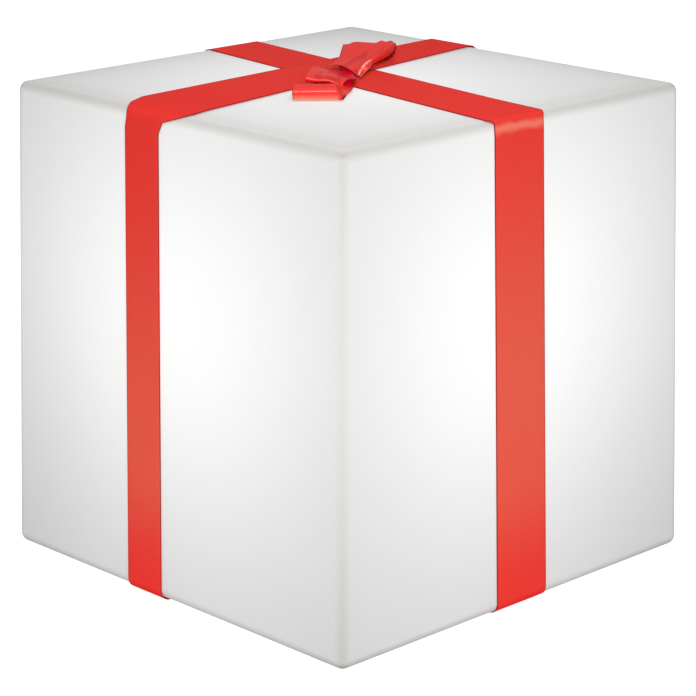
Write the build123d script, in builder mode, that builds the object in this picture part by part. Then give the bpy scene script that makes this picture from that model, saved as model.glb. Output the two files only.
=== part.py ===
from build123d import *
from math import atan2, cos, pi, radians, sin, tan
import os

os.makedirs("parts", exist_ok=True)

# Millimetres. The origin is on the floor under the middle of the box, Z is up, and X and Y run
# along the edges of the box. The corner nearest the viewer is the one towards -X and -Y.

# Box shell: one hollow moulding of milky plastic, leaning in a little towards the top
BASE_EDGE = 400.0
BODY_HEIGHT = 400.0
DRAFT = 1.22  # degrees that each wall leans
SHELL_WALL = 3.0
EDGE_RADIUS = 8.0
RECESS_DEPTH = 7.5  # underside of the box up to the ledge that the lamp is screwed to
LEDGE_THICKNESS = 5.0
LEDGE_WIDTH = 16.0
BOSS_RADIUS = 5.5
BOSS_CROWN = 2.0  # plastic left over the end of each insert

# Rubber feet
FOOT_HEIGHT = 3.0
FOOT_RADIUS = 12.0
FOOT_SPACING = 300.0
FOOT_CHAMFER = 0.8

# Ribbons: places are measured to the right of the box's middle line, looking along the ribbon
RIBBON_THICKNESS = 0.6
TAPE_THICKNESS = 0.3
RIBBON_CROSSING_GAP = 0.2
RIBBON_TUCK = 45.0  # length turned under the box
TAPE_LENGTH = 24.0
TAPE_MARGIN = 4.0
FRONT_NEAR_CENTRE, FRONT_NEAR_WIDTH = -0.5, 57.0
FRONT_TOP_NEAR_CENTRE, FRONT_TOP_NEAR_WIDTH = -8.0, 63.0
FRONT_TOP_FAR_CENTRE, FRONT_TOP_FAR_WIDTH = 37.5, 61.0
FRONT_FAR_CENTRE, FRONT_FAR_WIDTH = 38.0, 60.0
SIDE_NEAR_CENTRE, SIDE_NEAR_WIDTH = -29.5, 41.0
SIDE_TOP_NEAR_CENTRE, SIDE_TOP_NEAR_WIDTH = -19.0, 70.0
SIDE_TOP_FAR_CENTRE, SIDE_TOP_FAR_WIDTH = -59.0, 48.0
SIDE_FAR_CENTRE, SIDE_FAR_WIDTH = -59.0, 48.0

# Bow: heights are above the top of the box, lengths run away from the viewer from the knot
BOW_X, BOW_Y = 18.0, 9.0
BOW_TURN = 44.0  # degrees from +Y towards +X that the bow points
BOW_STRIP = 0.9
BOW_CLEARANCE = 0.3
KNOT_LENGTH, KNOT_WIDTH, KNOT_HEIGHT, KNOT_ROUNDING = 17.0, 15.0, 10.5, 3.0
KNOT_PAD_THICKNESS = 1.0
KNOT_PAD_MARGIN = 3.0
FRONT_LOOP_REACH, FRONT_LOOP_NOSE, FRONT_LOOP_NECK = 106.0, 12.0, 4.0
FRONT_LOOP_WIDTH, FRONT_LOOP_OFFSET = 43.0, -35.0
LEFT_LOOP_REACH, LEFT_LOOP_NOSE, LEFT_LOOP_NECK = 68.0, 7.0, 3.4
LEFT_LOOP_WIDTH, LEFT_LOOP_OFFSET = 34.0, -30.0
BACK_LOOP_REACH, BACK_LOOP_NOSE, BACK_LOOP_NECK = 72.0, 15.0, 4.0
BACK_LOOP_WIDTH, BACK_LOOP_OFFSET = 46.0, 10.0
LOOP_NECK_WIDTH = 12.0  # each loop is gathered to this at the knot
LOOP_NOSE_LENGTH = 22.0  # stretch behind the fold over which a loop is full width

# Clearances shared by the lamp's pieces
FIT = 0.05  # round pieces that fit snugly
SLIP = 0.3  # pieces that slide or drop in

# Screws and inserts: shank and head radii, and lengths
BASE_SCREW_RADIUS, BASE_SCREW_HEAD, BASE_SCREW_LENGTH, BASE_SCREW_COUNT = 2.0, 4.0, 12.0, 6
INSERT_RADIUS, INSERT_LENGTH = 3.0, 8.0
POST_SCREW_RADIUS, POST_SCREW_HEAD, POST_SCREW_LENGTH = 1.5, 3.0, 12.0
SMALL_SCREW_RADIUS, SMALL_SCREW_HEAD, SMALL_SCREW_LENGTH = 1.25, 2.4, 6.0
PAN_HEAD_HEIGHT = 1.8
DRIVE_DEPTH = 1.2  # key socket in each screw head
DRIVE_SHARE = 0.5  # of the head's radius
DRIVE_SIDES = 6

# Base plate and gasket
PLATE_THICKNESS = 4.0
PLATE_CLEARANCE = 1.0
GASKET_THICKNESS = 1.5
GASKET_MARGIN = 1.5

# Battery: two round cells in series in a cradle
CELL_RADIUS, CELL_LENGTH = 9.2, 65.0
CELL_GAP = 0.8
LINK_THICKNESS, LINK_HEIGHT, LINK_MARGIN = 0.3, 8.0, 4.0
CRADLE_WALL = 2.0
CRADLE_LIP = 8.0
PILLAR_RADIUS, PILLAR_HEIGHT, PILLAR_SPACING = 3.5, 18.0, 40.0
CLAMP_WIDTH, CLAMP_THICKNESS = 14.0, 2.0

# Lamp housing and its screw posts
LEAD_SPACE = 7.0  # between the cradle and the posts
POST_RADIUS, POST_COUNT, POST_OVERLAP = 4.5, 3, 0.5
HOUSING_WALL, HOUSING_HEIGHT = 2.5, 53.0
OPENING_CLEARANCE = 4.0

# Control board, sockets and leads
BOARD_LENGTH, BOARD_WIDTH, BOARD_THICKNESS = 70.0, 40.0, 1.6
STANDOFF_RADIUS, STANDOFF_HEIGHT, STANDOFF_INSET = 3.0, 7.0, 4.0
SOCKET_LENGTH, SOCKET_WIDTH, SOCKET_HEIGHT = 7.0, 14.0, 5.0
LEAD_RADIUS, LEAD_BEND, LEAD_OFFSET = 0.8, 3.0, 5.0

# Power button and its switch
BUTTON_X = -20.0
BUTTON_RADIUS, BUTTON_PROUD, BUTTON_DISH = 7.2, 0.8, 0.4
BUTTON_FLANGE, BUTTON_FLANGE_THICKNESS, BUTTON_SEAT_GAP = 9.0, 1.2, 0.1
BUTTON_STEM_RADIUS, BUTTON_TRAVEL = 1.5, 1.0
BUTTON_SEAL_HEIGHT, BUTTON_SEAL_DEPTH, BUTTON_SEAL_GAP = 1.2, 0.8, 0.1
SWITCH_EDGE, SWITCH_HEIGHT = 6.0, 3.0
PLUNGER_INSIDE = 1.5  # length of the plunger inside the switch at rest

# Charging socket with its hinged cover, light pipe and vent
USB_X = 12.0
USB_WIDTH, USB_HEIGHT, USB_SHEET = 8.94, 3.26, 0.3
USB_BACK = 3.0
USB_TONGUE_WIDTH, USB_TONGUE_THICKNESS, USB_TONGUE_SETBACK = 6.7, 0.7, 1.2
COVER_LENGTH, COVER_WIDTH, COVER_THICKNESS = 20.0, 16.0, 1.6
COVER_BARREL, COVER_PIN_RADIUS, COVER_PIN_GRIP = 1.15, 0.6, 2.5
COVER_HINGE_ROOM = 0.8
COVER_INSET = 0.1
POCKET_DEPTH = 2.6
SEAL_THICKNESS, SEAL_RIM = 0.7, 1.8
NAIL_NOTCH = 4.0
PIPE_X, PIPE_RADIUS = 29.0, 1.5
VENT_Y, VENT_RADIUS, VENT_HEAD, VENT_BARB, VENT_LIP = 38.0, 3.0, 5.0, 3.6, 1.0

# Light engine on top of the housing
LED_PLATE_THICKNESS = 2.0
LED_BOARD_RADIUS, LED_BOARD_THICKNESS = 34.0, 1.6
LED_BOARD_SCREW_CIRCLE = 29.0
LED_EDGE, LED_HEIGHT = 3.5, 1.2
LED_INNER_RING, LED_INNER_COUNT = 10.0, 6
LED_OUTER_RING, LED_OUTER_COUNT = 21.0, 12
LED_SOCKET_LENGTH, LED_SOCKET_HEIGHT, LED_SOCKET_RIM = 5.0, 3.2, 1.0
DOME_WALL, DOME_RIM, DOME_HEIGHT = 2.0, 4.0, 36.0

# Heights that follow from the sizes above
body_bottom = FOOT_HEIGHT
body_top = body_bottom + BODY_HEIGHT
ledge_bottom = body_bottom + RECESS_DEPTH
plate_top = ledge_bottom - GASKET_THICKNESS
plate_bottom = plate_top - PLATE_THICKNESS
board_bottom = plate_top + STANDOFF_HEIGHT
board_top = board_bottom + BOARD_THICKNESS
cradle_bottom = plate_top + PILLAR_HEIGHT
cradle_floor = cradle_bottom + CRADLE_WALL
cell_height = cradle_floor + SLIP + CELL_RADIUS
clamp_bottom = cell_height + CELL_RADIUS + SLIP
housing_top = plate_top + HOUSING_HEIGHT
led_plate_bottom = housing_top - LED_PLATE_THICKNESS
led_board_top = housing_top + LED_BOARD_THICKNESS

# Plan sizes that follow, from the battery outward to the recess in the box
cell_pitch = 2 * CELL_RADIUS + CELL_GAP
cradle_inside_length = CELL_LENGTH + 2 * (LINK_THICKNESS + SLIP)
cradle_length = cradle_inside_length + 2 * CRADLE_WALL
cradle_inside_width = cell_pitch + 2 * (CELL_RADIUS + SLIP)
cradle_width = cradle_inside_width + 2 * CRADLE_WALL
pillar_y = max(BOARD_WIDTH, cradle_width) / 2 + SLIP + PILLAR_RADIUS
lead_x = max(BOARD_LENGTH, cradle_length) / 2 + LEAD_SPACE / 2
post_circle = max(BOARD_LENGTH, cradle_length) / 2 + LEAD_SPACE + POST_RADIUS
housing_inside = post_circle + POST_RADIUS - POST_OVERLAP
housing_radius = housing_inside + HOUSING_WALL
opening_radius = housing_radius + OPENING_CLEARANCE
recess_radius = opening_radius + LEDGE_WIDTH
plate_radius = recess_radius - PLATE_CLEARANCE
base_screw_circle = opening_radius + LEDGE_WIDTH / 2

STANDING = (Align.CENTER, Align.CENTER, Align.MIN)
HANGING = (Align.CENTER, Align.CENTER, Align.MAX)


def ring_places(radius, count):
    """Points evenly spaced round a circle, the first on +X."""
    return [Vector(radius, 0, 0).rotate(Axis.Z, 360 * i / count) for i in range(count)]


def at_height(places, height):
    """The same points moved to a height."""
    return [(place.X, place.Y, height) for place in places]


def grid_places(length, width):
    """The four corners of a rectangle about the middle."""
    return [Vector(i * length / 2, j * width / 2, 0) for i in (-1, 1) for j in (-1, 1)]


def drafted_block(grow):
    """The outside shape of the box, moved outward by grow on every side."""
    lean = radians(DRAFT)
    edge = BASE_EDGE + 2 * grow * (1 / cos(lean) + tan(lean))
    with BuildPart() as block:
        with BuildSketch(Plane.XY.offset(body_bottom - grow)):
            Rectangle(edge, edge)
        extrude(amount=BODY_HEIGHT + 2 * grow, taper=DRAFT)
        fillet(block.edges(), EDGE_RADIUS + grow)
    return block.part


def flat_head_shape(places, face, radius, head, length, grow=0.0):
    """Countersunk screws standing up from a face, or with grow the holes that they go into."""
    with BuildPart() as screws:
        with Locations(*at_height(places, face)):
            Cone(head + grow, radius + grow, head - radius, align=STANDING)
            Cylinder(radius + grow, length + grow, align=STANDING)
    return screws.part


def pan_head_shape(places, face, radius, head, length):
    """Screws whose heads sit on a face and whose shanks hang down from it."""
    with BuildPart() as screws:
        with Locations(*at_height(places, face)):
            Cylinder(head, PAN_HEAD_HEIGHT, align=STANDING)
            Cylinder(radius, length, align=HANGING)
    return screws.part


def cut_drives(places, face, head, depth):
    """Sink a key socket into each screw head of the part being built."""
    with BuildSketch(Plane.XY.offset(face)) as drives:
        with Locations(*at_height(places, 0)):
            RegularPolygon(head * DRIVE_SHARE, DRIVE_SIDES)
    extrude(drives.sketch, amount=depth, mode=Mode.SUBTRACT)


def cut_bores(places, bottom, radius, depth):
    """Bore round holes upward from a height into the part being built."""
    with BuildSketch(Plane.XY.offset(bottom)) as bores:
        with Locations(*at_height(places, 0)):
            Circle(radius)
    extrude(bores.sketch, amount=depth, mode=Mode.SUBTRACT)


base_screw_places = ring_places(base_screw_circle, BASE_SCREW_COUNT)
post_places = ring_places(post_circle, POST_COUNT)
standoff_places = grid_places(BOARD_LENGTH - 2 * STANDOFF_INSET, BOARD_WIDTH - 2 * STANDOFF_INSET)
pillar_places = grid_places(PILLAR_SPACING, 2 * pillar_y)
clamp_places = [Vector(0, side * pillar_y, 0) for side in (-1, 1)]
led_board_screw_places = ring_places(LED_BOARD_SCREW_CIRCLE, POST_COUNT)

# Box shell: hollow body, with a recess underneath whose ledge takes the lamp's screws
boss_height = INSERT_LENGTH + BOSS_CROWN
with BuildPart() as box_shell:
    add(drafted_block(0))
    add(drafted_block(-SHELL_WALL), mode=Mode.SUBTRACT)
    with BuildSketch(Plane.XY.offset(body_bottom)):
        Circle(recess_radius + SHELL_WALL)
    extrude(amount=RECESS_DEPTH + LEDGE_THICKNESS)
    with BuildSketch(Plane.XY.offset(ledge_bottom)):
        with Locations(*at_height(base_screw_places, 0)):
            Circle(BOSS_RADIUS)
    extrude(amount=boss_height)
    with BuildSketch(Plane.XY.offset(body_bottom)):
        Circle(recess_radius)
    extrude(amount=RECESS_DEPTH, mode=Mode.SUBTRACT)
    with BuildSketch(Plane.XY.offset(ledge_bottom)):
        Circle(opening_radius)
    extrude(amount=max(boss_height, LEDGE_THICKNESS), mode=Mode.SUBTRACT)
    cut_bores(base_screw_places, ledge_bottom, INSERT_RADIUS + FIT, INSERT_LENGTH)
box_shell.part.label = "box_shell"
export_step(box_shell.part, "parts/box_shell.step")

# Brass inserts moulded into the ledge
with BuildPart() as screw_inserts:
    with BuildSketch(Plane.XY.offset(ledge_bottom)):
        with Locations(*at_height(base_screw_places, 0)):
            Circle(INSERT_RADIUS)
            Circle(BASE_SCREW_RADIUS + FIT, mode=Mode.SUBTRACT)
    extrude(amount=INSERT_LENGTH)
screw_inserts.part.label = "screw_inserts"
export_step(screw_inserts.part, "parts/screw_inserts.step")

# Rubber feet stuck under the corners
with BuildPart() as rubber_feet:
    with BuildSketch():
        with GridLocations(FOOT_SPACING, FOOT_SPACING, 2, 2):
            Circle(FOOT_RADIUS)
    extrude(amount=FOOT_HEIGHT)
    chamfer(rubber_feet.edges().group_by(Axis.Z)[0], FOOT_CHAMFER)
rubber_feet.part.label = "rubber_feet"
export_step(rubber_feet.part, "parts/rubber_feet.step")

# Ribbons: each is a thin skin over the box, trimmed to a band on each face that it crosses
lean_in = BODY_HEIGHT * tan(radians(DRAFT))
top_edge = BASE_EDGE - 2 * lean_in
front_lift = TAPE_THICKNESS
side_lift = front_lift + RIBBON_THICKNESS + RIBBON_CROSSING_GAP
ribbon_top = side_lift + RIBBON_THICKNESS  # above the top of the box
band_top = body_top - EDGE_RADIUS
flat_end = top_edge / 2 - EDGE_RADIUS
outside = BASE_EDGE / 2 + EDGE_RADIUS
tuck_end = BASE_EDGE / 2 - RIBBON_TUCK
along_y = Plane.XY
along_x = Plane(origin=(0, 0, 0), x_dir=(0, -1, 0), z_dir=(0, 0, 1))


def ribbon_band(heading, bottom, height, stations):
    """An upright block over a ribbon's outline, from (distance along, centre, width) stations."""
    left = [(centre - width / 2, along) for along, centre, width in stations]
    right = [(centre + width / 2, along) for along, centre, width in reversed(stations)]
    with BuildPart() as band:
        with BuildSketch(heading.offset(bottom)):
            with BuildLine():
                Polyline(*left, *right, close=True)
            make_face()
        extrude(amount=height)
    return band.part


def ribbon_skin(heading, lift, near, top_near, top_far, far):
    """A ribbon laid over the box and turned under it at both ends."""
    below = body_bottom - lift - RIBBON_THICKNESS
    wall_bands = [
        [(-outside, *near), (-tuck_end, *near)],
        [(tuck_end, *far), (outside, *far)],
    ]
    top_stations = [(-outside, *near), (-flat_end, *top_near), (flat_end, *top_far), (outside, *far)]
    with BuildPart() as outline:
        for stations in wall_bands:
            add(ribbon_band(heading, below, band_top - below, stations))
        add(ribbon_band(heading, band_top, body_top + ribbon_top - band_top, top_stations))
    with BuildPart() as ribbon:
        add(drafted_block(lift + RIBBON_THICKNESS))
        add(drafted_block(lift), mode=Mode.SUBTRACT)
        add(outline.part, mode=Mode.INTERSECT)
    return ribbon.part


with BuildPart() as front_ribbon:
    add(ribbon_skin(
        along_y, front_lift,
        (FRONT_NEAR_CENTRE, FRONT_NEAR_WIDTH), (FRONT_TOP_NEAR_CENTRE, FRONT_TOP_NEAR_WIDTH),
        (FRONT_TOP_FAR_CENTRE, FRONT_TOP_FAR_WIDTH), (FRONT_FAR_CENTRE, FRONT_FAR_WIDTH),
    ))
front_ribbon.part.label = "front_ribbon"
export_step(front_ribbon.part, "parts/front_ribbon.step")

with BuildPart() as side_ribbon:
    add(ribbon_skin(
        along_x, side_lift,
        (SIDE_NEAR_CENTRE, SIDE_NEAR_WIDTH), (SIDE_TOP_NEAR_CENTRE, SIDE_TOP_NEAR_WIDTH),
        (SIDE_TOP_FAR_CENTRE, SIDE_TOP_FAR_WIDTH), (SIDE_FAR_CENTRE, SIDE_FAR_WIDTH),
    ))
side_ribbon.part.label = "side_ribbon"
export_step(side_ribbon.part, "parts/side_ribbon.step")

# Double-sided tape that holds the ribbons' ends to the underside of the box
with BuildPart() as ribbon_tapes:
    for heading, lift, near, far in (
        (along_y, front_lift, (FRONT_NEAR_CENTRE, FRONT_NEAR_WIDTH), (FRONT_FAR_CENTRE, FRONT_FAR_WIDTH)),
        (along_x, side_lift, (SIDE_NEAR_CENTRE, SIDE_NEAR_WIDTH), (SIDE_FAR_CENTRE, SIDE_FAR_WIDTH)),
    ):
        for side, (centre, width) in ((-1, near), (1, far)):
            middle = side * (tuck_end + TAPE_LENGTH / 2)
            with BuildSketch(heading.offset(body_bottom - lift)):
                with Locations((centre, middle)):
                    Rectangle(width - 2 * TAPE_MARGIN, TAPE_LENGTH)
            extrude(amount=lift)
ribbon_tapes.part.label = "ribbon_tapes"
export_step(ribbon_tapes.part, "parts/ribbon_tapes.step")

# Bow: strips folded into flat loops, drawn in at the knot
bow_away = Vector(sin(radians(BOW_TURN)), cos(radians(BOW_TURN)), 0)
bow_across = Vector(cos(radians(BOW_TURN)), -sin(radians(BOW_TURN)), 0)
bow_plan = Plane(origin=(BOW_X, BOW_Y, body_top), x_dir=bow_across, z_dir=(0, 0, 1))
bow_side = Plane(origin=(BOW_X, BOW_Y, body_top), x_dir=bow_away, z_dir=bow_across)
loop_start = KNOT_LENGTH / 2 + BOW_CLEARANCE
bow_base = ribbon_top + BOW_CLEARANCE
ROUND = 0.45  # of a loop's height, for the rounding of its fold and of its neck


def bow_loop(outline, radii, side, reach, width, offset_across):
    """A strip folded along a closed outline, full width at its fold and gathered at the knot."""
    half, neck = width / 2, LOOP_NECK_WIDTH / 2
    full = side * (reach - LOOP_NOSE_LENGTH)
    tip = side * (reach + BOW_CLEARANCE)
    spread = abs(offset_across) + width
    with BuildPart() as plan:
        with BuildSketch(bow_plan):
            with BuildLine():
                Polyline(
                    (-neck, 0), (offset_across - half, full), (offset_across - half, tip),
                    (offset_across + half, tip), (offset_across + half, full), (neck, 0),
                    close=True,
                )
            make_face()
        extrude(amount=reach)
    with BuildPart() as loop:
        with BuildSketch(bow_side):
            with BuildLine():
                FilletPolyline(*outline, radius=radii, close=True)
            make_face()
            offset(amount=-BOW_STRIP, mode=Mode.SUBTRACT)
        extrude(amount=spread, both=True)
        add(plan.part, mode=Mode.INTERSECT)
    return loop.part


def wedge_loop(side, reach, base, neck, nose):
    """The outline and corner radii of a loop that rises from its neck to a fully rounded fold."""
    rise = atan2(nose - neck, reach - loop_start)
    fold = 2 * ROUND * nose / (1 + tan(pi / 4 + rise / 2))
    outline = [
        (side * loop_start, base), (side * loop_start, base + neck),
        (side * reach, base + nose), (side * reach, base),
    ]
    return outline, [ROUND * neck, ROUND * neck, fold, fold]


front_flat = bow_base + FRONT_LOOP_NECK
with BuildPart() as bow_front_loop:
    add(bow_loop(
        [
            (-loop_start, bow_base), (-loop_start, front_flat),
            (-FRONT_LOOP_REACH + 2 * FRONT_LOOP_NOSE, front_flat),
            (-FRONT_LOOP_REACH + FRONT_LOOP_NOSE, BOW_CLEARANCE + FRONT_LOOP_NOSE),
            (-FRONT_LOOP_REACH, BOW_CLEARANCE + FRONT_LOOP_NOSE), (-FRONT_LOOP_REACH, BOW_CLEARANCE),
        ],
        [
            ROUND * FRONT_LOOP_NECK, ROUND * FRONT_LOOP_NECK, ROUND * FRONT_LOOP_NOSE,
            ROUND * FRONT_LOOP_NOSE, ROUND * FRONT_LOOP_NOSE, ROUND * FRONT_LOOP_NOSE,
        ],
        -1, FRONT_LOOP_REACH, FRONT_LOOP_WIDTH, FRONT_LOOP_OFFSET,
    ))
bow_front_loop.part.label = "bow_front_loop"
export_step(bow_front_loop.part, "parts/bow_front_loop.step")

left_base = front_flat + BOW_CLEARANCE
with BuildPart() as bow_left_loop:
    add(bow_loop(
        *wedge_loop(-1, LEFT_LOOP_REACH, left_base, LEFT_LOOP_NECK, LEFT_LOOP_NOSE),
        -1, LEFT_LOOP_REACH, LEFT_LOOP_WIDTH, LEFT_LOOP_OFFSET,
    ))
bow_left_loop.part.label = "bow_left_loop"
export_step(bow_left_loop.part, "parts/bow_left_loop.step")

with BuildPart() as bow_back_loop:
    add(bow_loop(
        *wedge_loop(1, BACK_LOOP_REACH, bow_base, BACK_LOOP_NECK, BACK_LOOP_NOSE),
        1, BACK_LOOP_REACH, BACK_LOOP_WIDTH, BACK_LOOP_OFFSET,
    ))
bow_back_loop.part.label = "bow_back_loop"
export_step(bow_back_loop.part, "parts/bow_back_loop.step")

# Knot: the gathered middle with its tie, on a foam pad stuck to the ribbons
knot_base = ribbon_top + KNOT_PAD_THICKNESS
with BuildPart() as bow_knot:
    with BuildSketch(bow_plan.offset(knot_base)):
        Rectangle(KNOT_WIDTH, KNOT_LENGTH)
    extrude(amount=KNOT_HEIGHT)
    fillet(bow_knot.edges().filter_by(Axis.Z, reverse=True), KNOT_ROUNDING)
bow_knot.part.label = "bow_knot"
export_step(bow_knot.part, "parts/bow_knot.step")

with BuildPart() as bow_pad:
    with BuildSketch(bow_plan.offset(ribbon_top)):
        Rectangle(KNOT_WIDTH - 2 * KNOT_PAD_MARGIN, KNOT_LENGTH - 2 * KNOT_PAD_MARGIN)
    extrude(amount=KNOT_PAD_THICKNESS)
bow_pad.part.label = "bow_pad"
export_step(bow_pad.part, "parts/bow_pad.step")

# Gasket between the lamp's base plate and the ledge
with BuildPart() as base_gasket:
    with BuildSketch(Plane.XY.offset(plate_top)):
        Circle(plate_radius - GASKET_MARGIN)
        Circle(opening_radius + GASKET_MARGIN, mode=Mode.SUBTRACT)
        with Locations(*at_height(base_screw_places, 0)):
            Circle(BASE_SCREW_RADIUS + SLIP, mode=Mode.SUBTRACT)
    extrude(amount=GASKET_THICKNESS)
base_gasket.part.label = "base_gasket"
export_step(base_gasket.part, "parts/base_gasket.step")

# Base plate: closes the recess and carries the button, the charging socket and the electronics
hinge_x = USB_X + COVER_LENGTH / 2
cover_tip = USB_X - COVER_LENGTH / 2
pocket_near = cover_tip - SLIP
pocket_far = hinge_x + COVER_BARREL + COVER_HINGE_ROOM
hinge_z = plate_bottom + COVER_INSET + COVER_BARREL
cover_pin_half = COVER_WIDTH / 2 + SLIP + COVER_PIN_GRIP
pocket_top = plate_bottom + POCKET_DEPTH
with BuildPart() as base_plate:
    with BuildSketch(Plane.XY.offset(plate_bottom)):
        Circle(plate_radius)
    extrude(amount=PLATE_THICKNESS)
    with BuildSketch(Plane.XY.offset(plate_top)):
        with Locations(*at_height(standoff_places, 0)):
            Circle(STANDOFF_RADIUS)
    extrude(amount=STANDOFF_HEIGHT)
    with BuildSketch(Plane.XY.offset(plate_top)):
        with Locations(*at_height(pillar_places, 0)):
            Circle(PILLAR_RADIUS)
    extrude(amount=PILLAR_HEIGHT)
    with BuildSketch(Plane.XY.offset(plate_bottom)):
        with Locations(((pocket_near + pocket_far) / 2, 0)):
            Rectangle(pocket_far - pocket_near, COVER_WIDTH + 2 * SLIP)
        with Locations((pocket_near, 0)):
            Circle(NAIL_NOTCH)
    extrude(amount=POCKET_DEPTH, mode=Mode.SUBTRACT)
    with BuildSketch(Plane.XY.offset(pocket_top)):
        with Locations((USB_X, 0)):
            SlotOverall(USB_WIDTH + 2 * SLIP, USB_HEIGHT + 2 * SLIP, rotation=90)
    extrude(amount=PLATE_THICKNESS, mode=Mode.SUBTRACT)
    cut_bores([Vector(BUTTON_X, 0, 0)], plate_bottom, BUTTON_RADIUS + SLIP, PLATE_THICKNESS)
    cut_bores([Vector(PIPE_X, 0, 0)], plate_bottom, PIPE_RADIUS + FIT, PLATE_THICKNESS)
    cut_bores([Vector(0, VENT_Y, 0)], plate_bottom, VENT_RADIUS + FIT, PLATE_THICKNESS)
    for places, top in ((standoff_places, board_bottom), (pillar_places, cradle_bottom)):
        cut_bores(places, top - SMALL_SCREW_LENGTH, SMALL_SCREW_RADIUS + FIT, SMALL_SCREW_LENGTH)
    add(
        flat_head_shape(
            base_screw_places, plate_bottom, BASE_SCREW_RADIUS, BASE_SCREW_HEAD, BASE_SCREW_LENGTH, FIT
        ),
        mode=Mode.SUBTRACT,
    )
    add(
        flat_head_shape(
            post_places, plate_bottom, POST_SCREW_RADIUS, POST_SCREW_HEAD, POST_SCREW_LENGTH, FIT
        ),
        mode=Mode.SUBTRACT,
    )
    with BuildSketch(Plane.XZ):
        with Locations((hinge_x, hinge_z)):
            Circle(COVER_PIN_RADIUS + FIT)
    extrude(amount=cover_pin_half, both=True, mode=Mode.SUBTRACT)
base_plate.part.label = "base_plate"
export_step(base_plate.part, "parts/base_plate.step")

with BuildPart() as base_screws:
    add(flat_head_shape(
        base_screw_places, plate_bottom, BASE_SCREW_RADIUS, BASE_SCREW_HEAD, BASE_SCREW_LENGTH
    ))
    cut_drives(base_screw_places, plate_bottom, BASE_SCREW_HEAD, DRIVE_DEPTH)
base_screws.part.label = "base_screws"
export_step(base_screws.part, "parts/base_screws.step")

# Lamp housing: a tube on the base plate, with screw posts along its wall
with BuildPart() as lamp_housing:
    with BuildSketch(Plane.XY.offset(plate_top)):
        Circle(housing_radius)
        Circle(housing_inside, mode=Mode.SUBTRACT)
        with Locations(*at_height(post_places, 0)):
            Circle(POST_RADIUS)
    extrude(amount=HOUSING_HEIGHT)
    with BuildSketch(Plane.XY.offset(led_plate_bottom)):
        Circle(housing_inside)
    extrude(amount=LED_PLATE_THICKNESS, mode=Mode.SUBTRACT)
    cut_bores(post_places, plate_top, POST_SCREW_RADIUS + FIT, HOUSING_HEIGHT)
lamp_housing.part.label = "lamp_housing"
export_step(lamp_housing.part, "parts/lamp_housing.step")

with BuildPart() as housing_screws:
    add(flat_head_shape(post_places, plate_bottom, POST_SCREW_RADIUS, POST_SCREW_HEAD, POST_SCREW_LENGTH))
    cut_drives(post_places, plate_bottom, POST_SCREW_HEAD, DRIVE_DEPTH)
housing_screws.part.label = "housing_screws"
export_step(housing_screws.part, "parts/housing_screws.step")

# Control board on its standoffs
with BuildPart() as control_board:
    with BuildSketch(Plane.XY.offset(board_bottom)):
        Rectangle(BOARD_LENGTH, BOARD_WIDTH)
        with Locations(*at_height(standoff_places, 0)):
            Circle(SMALL_SCREW_RADIUS + SLIP, mode=Mode.SUBTRACT)
    extrude(amount=BOARD_THICKNESS)
control_board.part.label = "control_board"
export_step(control_board.part, "parts/control_board.step")

with BuildPart() as board_screws:
    add(pan_head_shape(
        standoff_places, board_top, SMALL_SCREW_RADIUS, SMALL_SCREW_HEAD, SMALL_SCREW_LENGTH
    ))
    cut_drives(standoff_places, board_top + PAN_HEAD_HEIGHT, SMALL_SCREW_HEAD, -DRIVE_DEPTH)
board_screws.part.label = "board_screws"
export_step(board_screws.part, "parts/board_screws.step")

# Push switch under the board, its plunger, and the power button that presses it from below
button_face = plate_bottom - BUTTON_PROUD
flange_bottom = plate_top + BUTTON_SEAT_GAP
flange_top = flange_bottom + BUTTON_FLANGE_THICKNESS
switch_bottom = board_bottom - SWITCH_HEIGHT
plunger_bottom = switch_bottom - BUTTON_TRAVEL - SLIP
seal_bottom = (plate_bottom + plate_top - BUTTON_SEAL_HEIGHT) / 2
with BuildPart() as button_switch:
    with BuildSketch(Plane.XY.offset(switch_bottom)):
        with Locations((BUTTON_X, 0)):
            Rectangle(SWITCH_EDGE, SWITCH_EDGE)
            Circle(BUTTON_STEM_RADIUS + SLIP, mode=Mode.SUBTRACT)
    extrude(amount=SWITCH_HEIGHT)
button_switch.part.label = "button_switch"
export_step(button_switch.part, "parts/button_switch.step")

with BuildPart() as switch_plunger:
    with BuildSketch(Plane.XY.offset(plunger_bottom)):
        with Locations((BUTTON_X, 0)):
            Circle(BUTTON_STEM_RADIUS)
    extrude(amount=switch_bottom + PLUNGER_INSIDE - plunger_bottom)
switch_plunger.part.label = "switch_plunger"
export_step(switch_plunger.part, "parts/switch_plunger.step")

with BuildPart() as power_button:
    with BuildSketch(Plane.XY.offset(button_face)):
        with Locations((BUTTON_X, 0)):
            Circle(BUTTON_RADIUS)
    extrude(amount=flange_bottom - button_face)
    chamfer(power_button.edges().group_by(Axis.Z)[0], BUTTON_DISH)
    with BuildSketch(Plane.XY.offset(flange_bottom)):
        with Locations((BUTTON_X, 0)):
            Circle(BUTTON_FLANGE)
    extrude(amount=BUTTON_FLANGE_THICKNESS)
    with BuildSketch(Plane.XY.offset(flange_top)):
        with Locations((BUTTON_X, 0)):
            Circle(BUTTON_STEM_RADIUS)
    extrude(amount=plunger_bottom - flange_top)
    with BuildSketch(Plane.XY.offset(seal_bottom)):
        with Locations((BUTTON_X, 0)):
            Circle(BUTTON_RADIUS)
            Circle(BUTTON_RADIUS - BUTTON_SEAL_DEPTH, mode=Mode.SUBTRACT)
    extrude(amount=BUTTON_SEAL_HEIGHT, mode=Mode.SUBTRACT)
power_button.part.label = "power_button"
export_step(power_button.part, "parts/power_button.step")

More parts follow.
